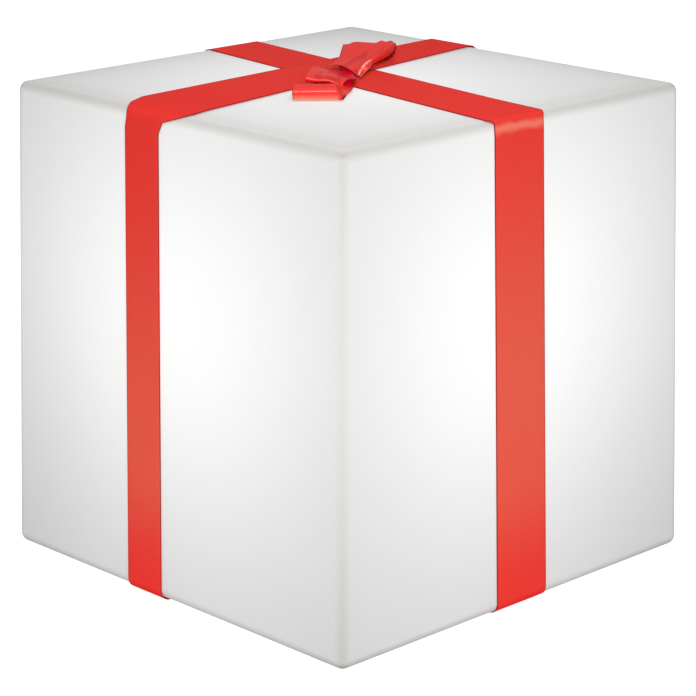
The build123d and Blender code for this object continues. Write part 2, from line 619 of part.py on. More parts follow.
with BuildPart() as button_seal:
    with BuildSketch(Plane.XY.offset(seal_bottom)):
        with Locations((BUTTON_X, 0)):
            Circle(BUTTON_RADIUS + SLIP - BUTTON_SEAL_GAP)
            Circle(BUTTON_RADIUS - BUTTON_SEAL_DEPTH, mode=Mode.SUBTRACT)
    extrude(amount=BUTTON_SEAL_HEIGHT)
button_seal.part.label = "button_seal"
export_step(button_seal.part, "parts/button_seal.step")

# Charging socket: a steel mouth with its contact tongue, standing down from the board
usb_mouth = pocket_top
with BuildPart() as usb_socket:
    with BuildSketch(Plane.XY.offset(usb_mouth)):
        with Locations((USB_X, 0)):
            SlotOverall(USB_WIDTH, USB_HEIGHT, rotation=90)
    extrude(amount=board_bottom - usb_mouth)
    with BuildSketch(Plane.XY.offset(usb_mouth)):
        with Locations((USB_X, 0)):
            SlotOverall(USB_WIDTH - 2 * USB_SHEET, USB_HEIGHT - 2 * USB_SHEET, rotation=90)
    extrude(amount=board_bottom - usb_mouth - USB_BACK, mode=Mode.SUBTRACT)
    with BuildSketch(Plane.XY.offset(usb_mouth + USB_TONGUE_SETBACK)):
        with Locations((USB_X, 0)):
            Rectangle(USB_TONGUE_THICKNESS, USB_TONGUE_WIDTH)
    extrude(amount=board_bottom - usb_mouth - USB_TONGUE_SETBACK)
usb_socket.part.label = "usb_socket"
export_step(usb_socket.part, "parts/usb_socket.step")

# Cover over the charging socket: a leaf with a hinge barrel, its pin and its rubber seal
leaf_bottom = plate_bottom + COVER_INSET
leaf_top = leaf_bottom + COVER_THICKNESS
with BuildPart() as charge_cover:
    with BuildSketch(Plane.XZ):
        with Locations(((cover_tip + hinge_x) / 2, leaf_bottom + COVER_THICKNESS / 2)):
            Rectangle(hinge_x - cover_tip, COVER_THICKNESS)
        with Locations((hinge_x, hinge_z)):
            Circle(COVER_BARREL)
            Circle(COVER_PIN_RADIUS + FIT, mode=Mode.SUBTRACT)
    extrude(amount=COVER_WIDTH / 2, both=True)
charge_cover.part.label = "charge_cover"
export_step(charge_cover.part, "parts/charge_cover.step")

with BuildPart() as cover_pin:
    with BuildSketch(Plane.XZ):
        with Locations((hinge_x, hinge_z)):
            Circle(COVER_PIN_RADIUS)
    extrude(amount=cover_pin_half, both=True)
cover_pin.part.label = "cover_pin"
export_step(cover_pin.part, "parts/cover_pin.step")

with BuildPart() as cover_seal:
    with BuildSketch(Plane.XY.offset(leaf_top)):
        with Locations((USB_X, 0)):
            SlotOverall(USB_WIDTH + 2 * SEAL_RIM, USB_HEIGHT + 2 * SEAL_RIM, rotation=90)
            SlotOverall(USB_WIDTH + 2 * SLIP, USB_HEIGHT + 2 * SLIP, rotation=90, mode=Mode.SUBTRACT)
    extrude(amount=SEAL_THICKNESS)
cover_seal.part.label = "cover_seal"
export_step(cover_seal.part, "parts/cover_seal.step")

# Light pipe that shows the charge, and the vent plug that lets the lamp breathe
with BuildPart() as charge_indicator:
    with BuildSketch(Plane.XY.offset(plate_bottom)):
        with Locations((PIPE_X, 0)):
            Circle(PIPE_RADIUS)
    extrude(amount=board_bottom - plate_bottom)
charge_indicator.part.label = "charge_indicator"
export_step(charge_indicator.part, "parts/charge_indicator.step")

with BuildPart() as vent_plug:
    with Locations((0, VENT_Y, plate_bottom)):
        Cylinder(VENT_RADIUS, PLATE_THICKNESS, align=STANDING)
        Cylinder(VENT_HEAD, VENT_LIP, align=HANGING)
    with Locations((0, VENT_Y, plate_top)):
        Cylinder(VENT_BARB, VENT_LIP, align=STANDING)
vent_plug.part.label = "vent_plug"
export_step(vent_plug.part, "parts/vent_plug.step")

# Battery cradle on the pillars, with the cells, their links and the clamp across them
with BuildPart() as battery_cradle:
    with BuildSketch(Plane.XY.offset(cradle_bottom)):
        Rectangle(cradle_length, cradle_width)
        for places in (pillar_places, clamp_places):
            with Locations(*at_height(places, 0)):
                Circle(PILLAR_RADIUS)
        with Locations((-PILLAR_SPACING / 2, 0), (0, 0), (PILLAR_SPACING / 2, 0)):
            Rectangle(2 * PILLAR_RADIUS, 2 * pillar_y)
    extrude(amount=CRADLE_WALL)
    with BuildSketch(Plane.XY.offset(cradle_floor)):
        Rectangle(cradle_length, cradle_width)
        Rectangle(cradle_inside_length, cradle_inside_width, mode=Mode.SUBTRACT)
    extrude(amount=CRADLE_LIP)
    with BuildSketch(Plane.XY.offset(cradle_floor)):
        with Locations(*at_height(clamp_places, 0)):
            Circle(PILLAR_RADIUS)
    extrude(amount=clamp_bottom - cradle_floor)
    cut_bores(pillar_places, cradle_bottom, SMALL_SCREW_RADIUS + SLIP, CRADLE_WALL)
    cut_bores(
        clamp_places, clamp_bottom - SMALL_SCREW_LENGTH, SMALL_SCREW_RADIUS + FIT, SMALL_SCREW_LENGTH
    )
battery_cradle.part.label = "battery_cradle"
export_step(battery_cradle.part, "parts/battery_cradle.step")

with BuildPart() as cradle_screws:
    add(pan_head_shape(
        pillar_places, cradle_floor, SMALL_SCREW_RADIUS, SMALL_SCREW_HEAD, SMALL_SCREW_LENGTH
    ))
    cut_drives(pillar_places, cradle_floor + PAN_HEAD_HEIGHT, SMALL_SCREW_HEAD, -DRIVE_DEPTH)
cradle_screws.part.label = "cradle_screws"
export_step(cradle_screws.part, "parts/cradle_screws.step")

with BuildPart() as battery_cells:
    with BuildSketch(Plane.YZ.offset(-CELL_LENGTH / 2)):
        with Locations((-cell_pitch / 2, cell_height), (cell_pitch / 2, cell_height)):
            Circle(CELL_RADIUS)
    extrude(amount=CELL_LENGTH)
battery_cells.part.label = "battery_cells"
export_step(battery_cells.part, "parts/battery_cells.step")

link_reach = cell_pitch / 2 + LINK_MARGIN
tab_start = LEAD_OFFSET - LEAD_RADIUS
with BuildPart() as cell_links:
    with BuildSketch(Plane.YZ.offset(-CELL_LENGTH / 2)):
        with Locations((0, cell_height)):
            Rectangle(2 * link_reach, LINK_HEIGHT)
    extrude(amount=-LINK_THICKNESS)
    with BuildSketch(Plane.YZ.offset(CELL_LENGTH / 2)):
        for side in (-1, 1):
            with Locations((side * (tab_start + link_reach) / 2, cell_height)):
                Rectangle(link_reach - tab_start, LINK_HEIGHT)
    extrude(amount=LINK_THICKNESS)
cell_links.part.label = "cell_links"
export_step(cell_links.part, "parts/cell_links.step")

with BuildPart() as battery_clamp:
    with BuildSketch(Plane.XY.offset(clamp_bottom)):
        Rectangle(CLAMP_WIDTH, 2 * (pillar_y + PILLAR_RADIUS))
        with Locations(*at_height(clamp_places, 0)):
            Circle(SMALL_SCREW_RADIUS + SLIP, mode=Mode.SUBTRACT)
    extrude(amount=CLAMP_THICKNESS)
battery_clamp.part.label = "battery_clamp"
export_step(battery_clamp.part, "parts/battery_clamp.step")

clamp_top = clamp_bottom + CLAMP_THICKNESS
with BuildPart() as clamp_screws:
    add(pan_head_shape(
        clamp_places, clamp_top, SMALL_SCREW_RADIUS, SMALL_SCREW_HEAD, SMALL_SCREW_LENGTH
    ))
    cut_drives(clamp_places, clamp_top + PAN_HEAD_HEIGHT, SMALL_SCREW_HEAD, -DRIVE_DEPTH)
clamp_screws.part.label = "clamp_screws"
export_step(clamp_screws.part, "parts/clamp_screws.step")

# Sockets for the leads, on both boards, and the leads between them and the battery
led_socket_x = -(LED_BOARD_RADIUS - LED_SOCKET_RIM - LED_SOCKET_LENGTH / 2)
board_lead_height = board_top + SOCKET_HEIGHT / 2
led_lead_height = led_board_top + LED_SOCKET_HEIGHT / 2
with BuildPart() as lead_sockets:
    with BuildSketch(Plane.XY.offset(board_top)):
        for side in (-1, 1):
            with Locations((side * (BOARD_LENGTH - SOCKET_LENGTH) / 2, 0)):
                Rectangle(SOCKET_LENGTH, SOCKET_WIDTH)
    extrude(amount=SOCKET_HEIGHT)
    with BuildSketch(Plane.XY.offset(led_board_top)):
        with Locations((led_socket_x, 0)):
            Rectangle(LED_SOCKET_LENGTH, SOCKET_WIDTH)
    extrude(amount=LED_SOCKET_HEIGHT)
lead_sockets.part.label = "lead_sockets"
export_step(lead_sockets.part, "parts/lead_sockets.step")


def lead_pair(points):
    """Two wires side by side along the same upright route, from (x, z) points."""
    with BuildPart() as pair:
        for side in (-1, 1):
            with BuildLine(Plane.XZ.offset(-side * LEAD_OFFSET)) as route:
                FilletPolyline(*points, radius=LEAD_BEND)
            with BuildSketch(Plane(route.line @ 0, z_dir=route.line % 0)):
                Circle(LEAD_RADIUS)
            sweep(path=route.line)
    return pair.part


with BuildPart() as battery_leads:
    add(lead_pair([
        (BOARD_LENGTH / 2, board_lead_height), (lead_x, board_lead_height),
        (lead_x, cell_height), (CELL_LENGTH / 2 + LINK_THICKNESS, cell_height),
    ]))
battery_leads.part.label = "battery_leads"
export_step(battery_leads.part, "parts/battery_leads.step")

with BuildPart() as led_leads:
    add(lead_pair([
        (-BOARD_LENGTH / 2, board_lead_height), (-lead_x, board_lead_height),
        (-lead_x, led_lead_height), (led_socket_x - LED_SOCKET_LENGTH / 2, led_lead_height),
    ]))
led_leads.part.label = "led_leads"
export_step(led_leads.part, "parts/led_leads.step")

# Heat spreader across the top of the housing, with the light board and its emitters
with BuildPart() as led_plate:
    with BuildSketch(Plane.XY.offset(led_plate_bottom)):
        Circle(housing_inside - SLIP)
        with Locations((-lead_x, -LEAD_OFFSET), (-lead_x, LEAD_OFFSET)):
            Circle(LEAD_RADIUS + SLIP, mode=Mode.SUBTRACT)
    extrude(amount=LED_PLATE_THICKNESS)
    cut_bores(post_places, led_plate_bottom, POST_SCREW_RADIUS + SLIP, LED_PLATE_THICKNESS)
    cut_bores(led_board_screw_places, led_plate_bottom, SMALL_SCREW_RADIUS + FIT, LED_PLATE_THICKNESS)
led_plate.part.label = "led_plate"
export_step(led_plate.part, "parts/led_plate.step")

with BuildPart() as plate_screws:
    add(pan_head_shape(post_places, housing_top, POST_SCREW_RADIUS, POST_SCREW_HEAD, POST_SCREW_LENGTH))
    cut_drives(post_places, housing_top + PAN_HEAD_HEIGHT, POST_SCREW_HEAD, -DRIVE_DEPTH)
plate_screws.part.label = "plate_screws"
export_step(plate_screws.part, "parts/plate_screws.step")

with BuildPart() as led_board:
    with BuildSketch(Plane.XY.offset(housing_top)):
        Circle(LED_BOARD_RADIUS)
        with Locations(*at_height(led_board_screw_places, 0)):
            Circle(SMALL_SCREW_RADIUS + SLIP, mode=Mode.SUBTRACT)
    extrude(amount=LED_BOARD_THICKNESS)
led_board.part.label = "led_board"
export_step(led_board.part, "parts/led_board.step")

with BuildPart() as led_board_screws:
    add(pan_head_shape(
        led_board_screw_places, led_board_top, SMALL_SCREW_RADIUS, SMALL_SCREW_HEAD, SMALL_SCREW_LENGTH
    ))
    cut_drives(led_board_screw_places, led_board_top + PAN_HEAD_HEIGHT, SMALL_SCREW_HEAD, -DRIVE_DEPTH)
led_board_screws.part.label = "led_board_screws"
export_step(led_board_screws.part, "parts/led_board_screws.step")

with BuildPart() as led_chips:
    with BuildSketch(Plane.XY.offset(led_board_top)):
        for ring, count in ((LED_INNER_RING, LED_INNER_COUNT), (LED_OUTER_RING, LED_OUTER_COUNT)):
            with PolarLocations(ring, count):
                Rectangle(LED_EDGE, LED_EDGE)
    extrude(amount=LED_HEIGHT)
led_chips.part.label = "led_chips"
export_step(led_chips.part, "parts/led_chips.step")


# Light dome: a frosted cap that spreads the light, bonded to the rim of the housing
def dome_fill(radius, height):
    """The space under a dome of a given rim radius and height."""
    rise = height - DOME_RIM
    ball = (radius**2 + rise**2) / (2 * rise)
    half_way = height - ball + (ball**2 - (radius / 2) ** 2) ** 0.5
    with BuildPart() as fill:
        with BuildSketch(Plane.XZ):
            with BuildLine():
                Polyline((0, housing_top + height), (0, housing_top), (radius, housing_top))
                Line((radius, housing_top), (radius, housing_top + DOME_RIM))
                ThreePointArc(
                    (radius, housing_top + DOME_RIM),
                    (radius / 2, housing_top + half_way),
                    (0, housing_top + height),
                )
            make_face()
        revolve(axis=Axis.Z)
    return fill.part


with BuildPart() as light_dome:
    add(dome_fill(housing_radius, DOME_HEIGHT))
    add(dome_fill(housing_radius - DOME_WALL, DOME_HEIGHT - DOME_WALL), mode=Mode.SUBTRACT)
light_dome.part.label = "light_dome"
export_step(light_dome.part, "parts/light_dome.step")
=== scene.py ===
from math import cos, radians, sin, sqrt, tan

import bmesh
import bpy
from mathutils import Matrix, Vector


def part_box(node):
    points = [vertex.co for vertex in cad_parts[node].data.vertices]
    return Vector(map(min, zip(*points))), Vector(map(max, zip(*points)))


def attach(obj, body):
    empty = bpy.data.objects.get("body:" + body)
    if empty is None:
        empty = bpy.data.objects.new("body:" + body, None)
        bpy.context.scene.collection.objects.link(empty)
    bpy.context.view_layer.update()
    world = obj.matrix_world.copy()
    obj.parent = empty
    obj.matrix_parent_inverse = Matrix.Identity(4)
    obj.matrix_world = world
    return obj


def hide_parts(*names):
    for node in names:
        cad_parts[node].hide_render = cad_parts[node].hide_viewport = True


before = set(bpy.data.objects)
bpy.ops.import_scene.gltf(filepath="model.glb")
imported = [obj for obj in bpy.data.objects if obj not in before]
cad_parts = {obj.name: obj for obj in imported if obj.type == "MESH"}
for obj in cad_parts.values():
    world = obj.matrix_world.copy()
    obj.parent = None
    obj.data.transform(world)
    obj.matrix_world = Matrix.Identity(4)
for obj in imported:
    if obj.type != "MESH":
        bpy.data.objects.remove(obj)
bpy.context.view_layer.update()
scene = bpy.context.scene
scene.view_settings.view_transform = "Standard"
MM = 0.001


# Camera: a long lens above the corner of the box that is nearest the viewer, so that two faces and
# the top show. It stands level, with no shift.
CAMERA_PLACE = (-1.5053, -1.5484, 0.8200)
CAMERA_SIGHT = Vector((0.6681, 0.6870, -0.2857))
CAMERA_LENS, CAMERA_SENSOR = 138.96, 36.0
camera_data = bpy.data.cameras.new("camera")
camera_data.sensor_width = CAMERA_SENSOR
camera_data.lens = CAMERA_LENS
camera = bpy.data.objects.new("camera", camera_data)
camera.location = CAMERA_PLACE
camera.rotation_euler = CAMERA_SIGHT.to_track_quat("-Z", "Y").to_euler()
scene.collection.objects.link(camera)
scene.camera = camera


# Studio: a pale floor in an even white room, with one large soft lamp above the near corner and two small
# ones, beside it and behind the box, that glint on the satin. The floor is clear from below and open under
# the box, where a fourth lamp shines up, so that the underside can be looked at.
ROOM_LIGHT = 0.34
LAMP_AIM = Vector((0.0, 0.0, 0.25))
LAMP_PLACE, LAMP_POWER, LAMP_SIZE = Vector((-0.72, -0.76, 1.18)), 13.2, 0.9
GLINT_PLACE, GLINT_POWER, GLINT_SIZE = Vector((-1.05, -1.25, 1.35)), 6.0, 0.075
BACK_PLACE, BACK_POWER, BACK_SIZE = Vector((1.47, 0.36, 0.98)), 0.8, 0.05
UNDER_PLACE, UNDER_POWER, UNDER_SIZE = Vector((0.25, -0.35, -1.1)), 4.0, 0.5
FLOOR_EDGE, FLOOR_OPENING, FLOOR_PARTS = 9.0, 0.36, 3
FLOOR_DROP = 0.3 * MM
FLOOR_WHITE = (0.64, 0.64, 0.64, 1.0)
FLOOR_OWN_WHITE = 0.95
SEEN_WHITE = (1.0, 1.0, 1.0, 1.0)


def set_inputs(node, inputs):
    """Link a node's inputs to other nodes' outputs, or set them to values."""
    for key, value in inputs.items():
        if hasattr(value, "is_linked"):
            node.id_data.links.new(value, node.inputs[key])
        else:
            node.inputs[key].default_value = value


def add_node(tree, kind, inputs=None, **settings):
    """One node of a node tree, with its settings and inputs."""
    node = tree.nodes.new(kind)
    for name, value in settings.items():
        setattr(node, name, value)
    set_inputs(node, inputs or {})
    return node


def tree_of(values):
    """The node tree of the first socket among values."""
    return next(value.id_data for value in values if hasattr(value, "is_linked"))


def math(operation, *values):
    """One sum on values and sockets, whose result is a socket."""
    inputs = dict(enumerate(values))
    return add_node(tree_of(values), "ShaderNodeMath", inputs, operation=operation).outputs[0]


def seen_mask(tree):
    """A value that is 1 for what the camera sees, straight, mirrored or through clear plastic."""
    path = add_node(tree, "ShaderNodeLightPath").outputs
    unbroken = math("MAXIMUM", path["Is Camera Ray"], path["Is Glossy Ray"])
    return math("MAXIMUM", unbroken, path["Is Transmission Ray"])


world = bpy.data.worlds.new("white room")
world.use_nodes = True
room = world.node_tree
room.nodes.clear()
room_light = add_node(room, "ShaderNodeBackground", {"Color": SEEN_WHITE, "Strength": ROOM_LIGHT}).outputs[0]
room_seen = add_node(room, "ShaderNodeBackground", {"Color": SEEN_WHITE}).outputs[0]
room_mix = add_node(room, "ShaderNodeMixShader", {0: seen_mask(room), 1: room_light, 2: room_seen})
add_node(room, "ShaderNodeOutputWorld", {"Surface": room_mix.outputs[0]})
scene.world = world

for lamp_name, lamp_place, lamp_power, lamp_size in (
    ("soft lamp", LAMP_PLACE, LAMP_POWER, LAMP_SIZE),
    ("glint lamp", GLINT_PLACE, GLINT_POWER, GLINT_SIZE),
    ("back lamp", BACK_PLACE, BACK_POWER, BACK_SIZE),
    ("under lamp", UNDER_PLACE, UNDER_POWER, UNDER_SIZE),
):
    lamp_data = bpy.data.lights.new(lamp_name, "AREA")
    lamp_data.energy = lamp_power
    lamp_data.size = lamp_size
    lamp = bpy.data.objects.new(lamp_name, lamp_data)
    lamp.location = lamp_place
    lamp.visible_camera = False
    lamp.rotation_euler = (LAMP_AIM - lamp_place).to_track_quat("-Z", "Y").to_euler()
    scene.collection.objects.link(lamp)

floor_finish = bpy.data.materials.new("pale floor")
floor_finish.use_nodes = True
floor_tree = floor_finish.node_tree
floor_tree.nodes.clear()
floor_lit = add_node(floor_tree, "ShaderNodeBsdfDiffuse", {"Color": FLOOR_WHITE}).outputs[0]
floor_share = math("MULTIPLY", seen_mask(floor_tree), FLOOR_OWN_WHITE)
floor_white = add_node(floor_tree, "ShaderNodeEmission", {"Strength": floor_share}).outputs[0]
floor_above = add_node(floor_tree, "ShaderNodeAddShader", {0: floor_lit, 1: floor_white}).outputs[0]
floor_below = add_node(floor_tree, "ShaderNodeBsdfTransparent").outputs[0]
floor_turned = add_node(floor_tree, "ShaderNodeNewGeometry").outputs["Backfacing"]
floor_mix = add_node(floor_tree, "ShaderNodeMixShader", {0: floor_turned, 1: floor_above, 2: floor_below})
add_node(floor_tree, "ShaderNodeOutputMaterial", {"Surface": floor_mix.outputs[0]})


def finish_mesh(name, shape, finish):
    """Turn a bmesh into an object in the scene, with its finish."""
    mesh = bpy.data.meshes.new(name)
    shape.to_mesh(mesh)
    shape.free()
    mesh.materials.append(finish)
    piece = bpy.data.objects.new(name, mesh)
    scene.collection.objects.link(piece)
    return piece


floor_shape = bmesh.new()
bmesh.ops.create_grid(floor_shape, x_segments=FLOOR_PARTS, y_segments=FLOOR_PARTS, size=FLOOR_EDGE / 2)
floor_middle = [face for face in floor_shape.faces if face.calc_center_median().length < FLOOR_OPENING / 2]
for vertex in floor_shape.verts:
    for axis in (0, 1):
        if abs(vertex.co[axis]) < FLOOR_EDGE / FLOOR_PARTS:
            vertex.co[axis] = FLOOR_OPENING / 2 * (1 if vertex.co[axis] > 0 else -1)
bmesh.ops.delete(floor_shape, geom=floor_middle, context="FACES_ONLY")
bmesh.ops.translate(floor_shape, vec=(0, 0, -FLOOR_DROP), verts=floor_shape.verts)
finish_mesh("floor", floor_shape, floor_finish)


# Box shell: one hollow moulding of milky plastic, lit from the lamp in its base. The light falls off
# with the distance from the lit middle and is dimmer through the top. Painted shade darkens the colour and
# the glow along the edges, most at the corners.
SHELL_EDGE = 400 * MM
SHELL_HEIGHT = 400 * MM
SHELL_BOTTOM = 3 * MM
SHELL_ROUNDING = 8 * MM
SHELL_LEAN_DEGREES = 1.22
SHELL_LEAN = radians(SHELL_LEAN_DEGREES)
SHELL_COLOUR = (0.47, 0.47, 0.465, 1.0)
SHELL_CLOUDED = (0.49, 0.49, 0.485, 1.0)
# Painted shade: the darker colour that the shell takes along its edges.
SHELL_RIM_SHADE = (0.32, 0.305, 0.285, 1.0)
SHELL_ROUGHNESS, SHELL_GLOSS = 0.6, 0.05
NOISE_DETAIL, CLOUD_DETAIL, GRAIN_DEPTH = 2.0, 3.0, 0.2 * MM
TONE_LOW, TONE_HIGH, ROUGHNESS_DRIFT = 0.2, 0.8, 0.05
GLOW_MIDDLE = (0.0, 0.0, 234 * MM)
GLOW_ON_FACE = 0.60
GLOW_SPREAD = 150 * MM
GLOW_THROUGH_TOP, TOP_DEPTH = 0.63, 9 * MM
GLOW_MOST = 1.0
GLOW_WHITE = (1.0, 1.0, 1.0, 1.0)
# Painted shade along the edges: the dimmer, warmer glow there, and the soft band, rounded edges, corners and
# upright edges that it covers.
GLOW_RIM_SHADE = (0.43, 0.385, 0.325, 1.0)
SOFT_START, SOFT_FULL, SOFT_ON_TOP, SOFT_SHARE = 0.945, 0.995, 0.25, 0.18
ROUND_START, ROUND_FULL, ROUND_SHARE = 0.95, 0.99, 0.49
CORNER_START, CORNER_SHARE = 0.95, 0.50
UPRIGHT_START, UPRIGHT_SHARE, UPRIGHT_ENDS = 0.952, 0.33, 0.15
FLOAT, VECTOR = "NodeSocketFloat", "NodeSocketVector"


def new_surface(name):
    """A new material and its shader."""
    material = bpy.data.materials.new(name)
    material.use_nodes = True
    return material, material.node_tree.nodes["Principled BSDF"]


def new_group(name, inputs, outputs):
    """A new node group with named sockets, the sockets that come into it, and its end node."""
    group = bpy.data.node_groups.new(name, "ShaderNodeTree")
    for in_out, sockets in (("INPUT", inputs), ("OUTPUT", outputs)):
        for socket, kind in sockets.items():
            group.interface.new_socket(name=socket, in_out=in_out, socket_type=kind)
    return group, add_node(group, "NodeGroupInput").outputs, add_node(group, "NodeGroupOutput")


def use_group(tree, group, **inputs):
    """The outputs of one placed copy of a node group."""
    return add_node(tree, "ShaderNodeGroup", inputs, node_tree=group).outputs


def ramp(value, low, high, low_to=0.0, high_to=1.0):
    """A smooth step of a socket's value between two limits."""
    limits = {"Value": value, "From Min": low, "From Max": high, "To Min": low_to, "To Max": high_to}
    return add_node(value.id_data, "ShaderNodeMapRange", limits, interpolation_type="SMOOTHSTEP").outputs[0]


def vector_math(operation, *values):
    """One sum on vectors, points or colours, by its outputs."""
    inputs = dict(enumerate(values))
    return add_node(tree_of(values), "ShaderNodeVectorMath", inputs, operation=operation).outputs


def split_place(place):
    """The three coordinates of a place, as sockets."""
    return add_node(place.id_data, "ShaderNodeSeparateXYZ", {0: place}).outputs


def object_place(tree):
    """The place on a piece in the shared frame."""
    return add_node(tree, "ShaderNodeTexCoord").outputs["Object"]


def noise(place, scale, detail=NOISE_DETAIL, **settings):
    """Soft noise over places."""
    inputs = {"Vector": place, "Scale": scale, "Detail": detail}
    return add_node(place.id_data, "ShaderNodeTexNoise", inputs, **settings).outputs[0]


def blend_colours(share, first, second):
    """A mix of two colours or colour sockets, whose result is a socket."""
    inputs = {0: share, 6: first, 7: second}
    return add_node(tree_of(inputs.values()), "ShaderNodeMix", inputs, data_type="RGBA").outputs[2]


def scaled(colour, share):
    """A colour times a socket's share."""
    colour = colour if hasattr(colour, "is_linked") else colour[:3]
    return add_node(
        share.id_data, "ShaderNodeVectorMath", {0: colour, "Scale": share}, operation="SCALE",
    ).outputs[0]


def drifting(tone, roughness):
    """A roughness that varies a little with a tone."""
    return ramp(tone, TONE_LOW, TONE_HIGH, roughness - ROUGHNESS_DRIFT, roughness + ROUGHNESS_DRIFT)


def raised(height, strength, depth):
    """The normal of a surface that a height raises."""
    inputs = {"Height": height, "Strength": strength, "Distance": depth}
    return add_node(height.id_data, "ShaderNodeBump", inputs).outputs["Normal"]


def dress(material, nodes):
    """Give CAD pieces their finish."""
    for node in nodes:
        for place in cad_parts[node].material_slots:
            place.material = material


glow_group, glow_in, glow_out = new_group("inner glow", {"Place": VECTOR}, {"Glow": FLOAT, "Painted rim shade": FLOAT})
glow_x, glow_y, glow_z = split_place(glow_in["Place"])
glow_far = vector_math("DISTANCE", glow_in["Place"], GLOW_MIDDLE)["Value"]
glow_soft = math("ADD", math("POWER", glow_far, 2.0), GLOW_SPREAD ** 2)
glow_strength = GLOW_ON_FACE * ((SHELL_EDGE / 2) ** 2 + GLOW_SPREAD ** 2)
glow_value = math("MINIMUM", math("DIVIDE", glow_strength, glow_soft), GLOW_MOST)
glow_top = SHELL_BOTTOM + SHELL_HEIGHT
glow_held = ramp(glow_z, glow_top - TOP_DEPTH, glow_top, 1.0, GLOW_THROUGH_TOP)
glow_lean = math("MULTIPLY", math("SUBTRACT", glow_z, SHELL_BOTTOM), tan(SHELL_LEAN))
glow_half = math("SUBTRACT", SHELL_EDGE / 2, glow_lean)
rim_x = math("DIVIDE", math("ABSOLUTE", glow_x), glow_half)
rim_y = math("DIVIDE", math("ABSOLUTE", glow_y), glow_half)
rim_rise = math("SUBTRACT", glow_z, SHELL_BOTTOM + SHELL_HEIGHT / 2)
rim_z = math("DIVIDE", math("ABSOLUTE", rim_rise), SHELL_HEIGHT / 2)
rim_across = math("MAXIMUM", rim_x, rim_y)
rim_along = math("MINIMUM", rim_x, rim_y)
# Painted shade masks: a soft band along the top and bottom edges, wider on those faces, the rounded edges,
# darker at the corners, and the upright edges.
rim_inset = math("MULTIPLY", math("SUBTRACT", 1.0, rim_across), SOFT_ON_TOP)
rim_soft_edge = math("MINIMUM", math("SUBTRACT", 1.0, rim_inset), rim_z)
rim_soft_shade = ramp(rim_soft_edge, SOFT_START, SOFT_FULL, 0.0, SOFT_SHARE)
rim_corner = ramp(rim_along, CORNER_START, ROUND_FULL, ROUND_SHARE, ROUND_SHARE + CORNER_SHARE)
rim_round_shade = math("MULTIPLY", ramp(math("MINIMUM", rim_across, rim_z), ROUND_START, ROUND_FULL), rim_corner)
rim_ends = math("MULTIPLY", math("POWER", rim_z, 2.0), UPRIGHT_ENDS)
rim_upright_shade = math(
    "MULTIPLY", ramp(rim_along, UPRIGHT_START, ROUND_FULL), math("ADD", rim_ends, UPRIGHT_SHARE),
)
set_inputs(glow_out, {
    "Glow": math("MULTIPLY", glow_value, glow_held),
    "Painted rim shade": math("MAXIMUM", math("MAXIMUM", rim_soft_shade, rim_round_shade), rim_upright_shade),
})

grain_group, grain_in, grain_out = new_group(
    "moulded grain", {"Place": VECTOR, "Grains": FLOAT, "Clouds": FLOAT}, {"Height": FLOAT, "Tone": FLOAT},
)
set_inputs(grain_out, {
    "Height": noise(grain_in["Place"], grain_in["Grains"]),
    "Tone": noise(grain_in["Place"], grain_in["Clouds"], CLOUD_DETAIL),
})


def moulded(name, colour, clouded, roughness, grains, clouds, bump, nodes=()):
    """A moulded finish for CAD pieces, cloudy between two colours, with grain that roughens it. It gives
    the material, its shader, the face's colour and the place."""
    material, shader = new_surface(name)
    place = object_place(shader.id_data)
    grain = use_group(shader.id_data, grain_group, Place=place, Grains=grains, Clouds=clouds)
    face = blend_colours(grain["Tone"], colour, clouded)
    set_inputs(shader, {
        "Base Color": face,
        "Roughness": drifting(grain["Tone"], roughness),
        "Normal": raised(grain["Height"], bump, GRAIN_DEPTH),
    })
    dress(material, nodes)
    return material, shader, face, place


shell_shader, shell_face, shell_place = moulded(
    "milky plastic", SHELL_COLOUR, SHELL_CLOUDED, SHELL_ROUGHNESS, grains=700, clouds=14, bump=0.12,
    nodes=["box_shell"],
)[1:]
shell_glow = use_group(shell_shader.id_data, glow_group, Place=shell_place)
# Painted shade along the edges turns the shell's colour and glow darker and warmer.
set_inputs(shell_shader, {
    "Specular IOR Level": SHELL_GLOSS,
    "Base Color": blend_colours(shell_glow["Painted rim shade"], shell_face, SHELL_RIM_SHADE),
    "Emission Color": scaled(blend_colours(shell_glow["Painted rim shade"], GLOW_WHITE, GLOW_RIM_SHADE), shell_glow["Glow"]),
    "Emission Strength": 1.0,
})


# Ribbons: two lengths of red satin laid tight over the box, one across the other, with their ends turned
# under it and taped. Each is a flat strip that turns round the box's rounded edges.
RIBBON_THICKNESS = 0.6 * MM
RIBBON_TUCK = 45 * MM
RIBBON_FLARE = 9 * MM
RIBBON_ACROSS_STEPS = 6
FLATTEST = 100
RUN_STEPS, BEND_STEPS = 24, 12
GRID_HALF, SMALLEST, RIGHT_ANGLE = 0.5, 1e-9, radians(90)
FRONT_LIFT, SIDE_LIFT = 0.6 * MM, 1.4 * MM
SATIN_RED = (0.82, 0.042, 0.033, 1.0)
SATIN_DEEP = (0.79, 0.038, 0.030, 1.0)
SATIN_EDGE = (0.36, 0.014, 0.012, 1.0)
SATIN_GLOW = (0.0, 0.115, 0.062, 1.0)
SATIN_ROUGHNESS, SATIN_GLOSS, SATIN_METAL = 0.34, 0.0, 0.30
SATIN_COAT_ROUGHNESS, SATIN_COAT_IOR = 0.25, 2.0
SATIN_BUMP, SATIN_DEPTH = 0.05, 0.1 * MM
RIBBON_COAT = 0.04
YARN_SCALE, YARN_DETAIL, RIB_TURNS, RIB_SHARE = (120.0, 60.0, 1.0), 3.0, 42000.0, 0.25
CLOTH_MIDDLE, BOUND_START, BOUND_FULL = 0.5, 0.478, 0.498
LIT_FROM, LIT_UP_TO = 15 * MM, 110 * MM
LIT_DOWN_FROM, LIT_DOWN_TO = 150 * MM, 480 * MM
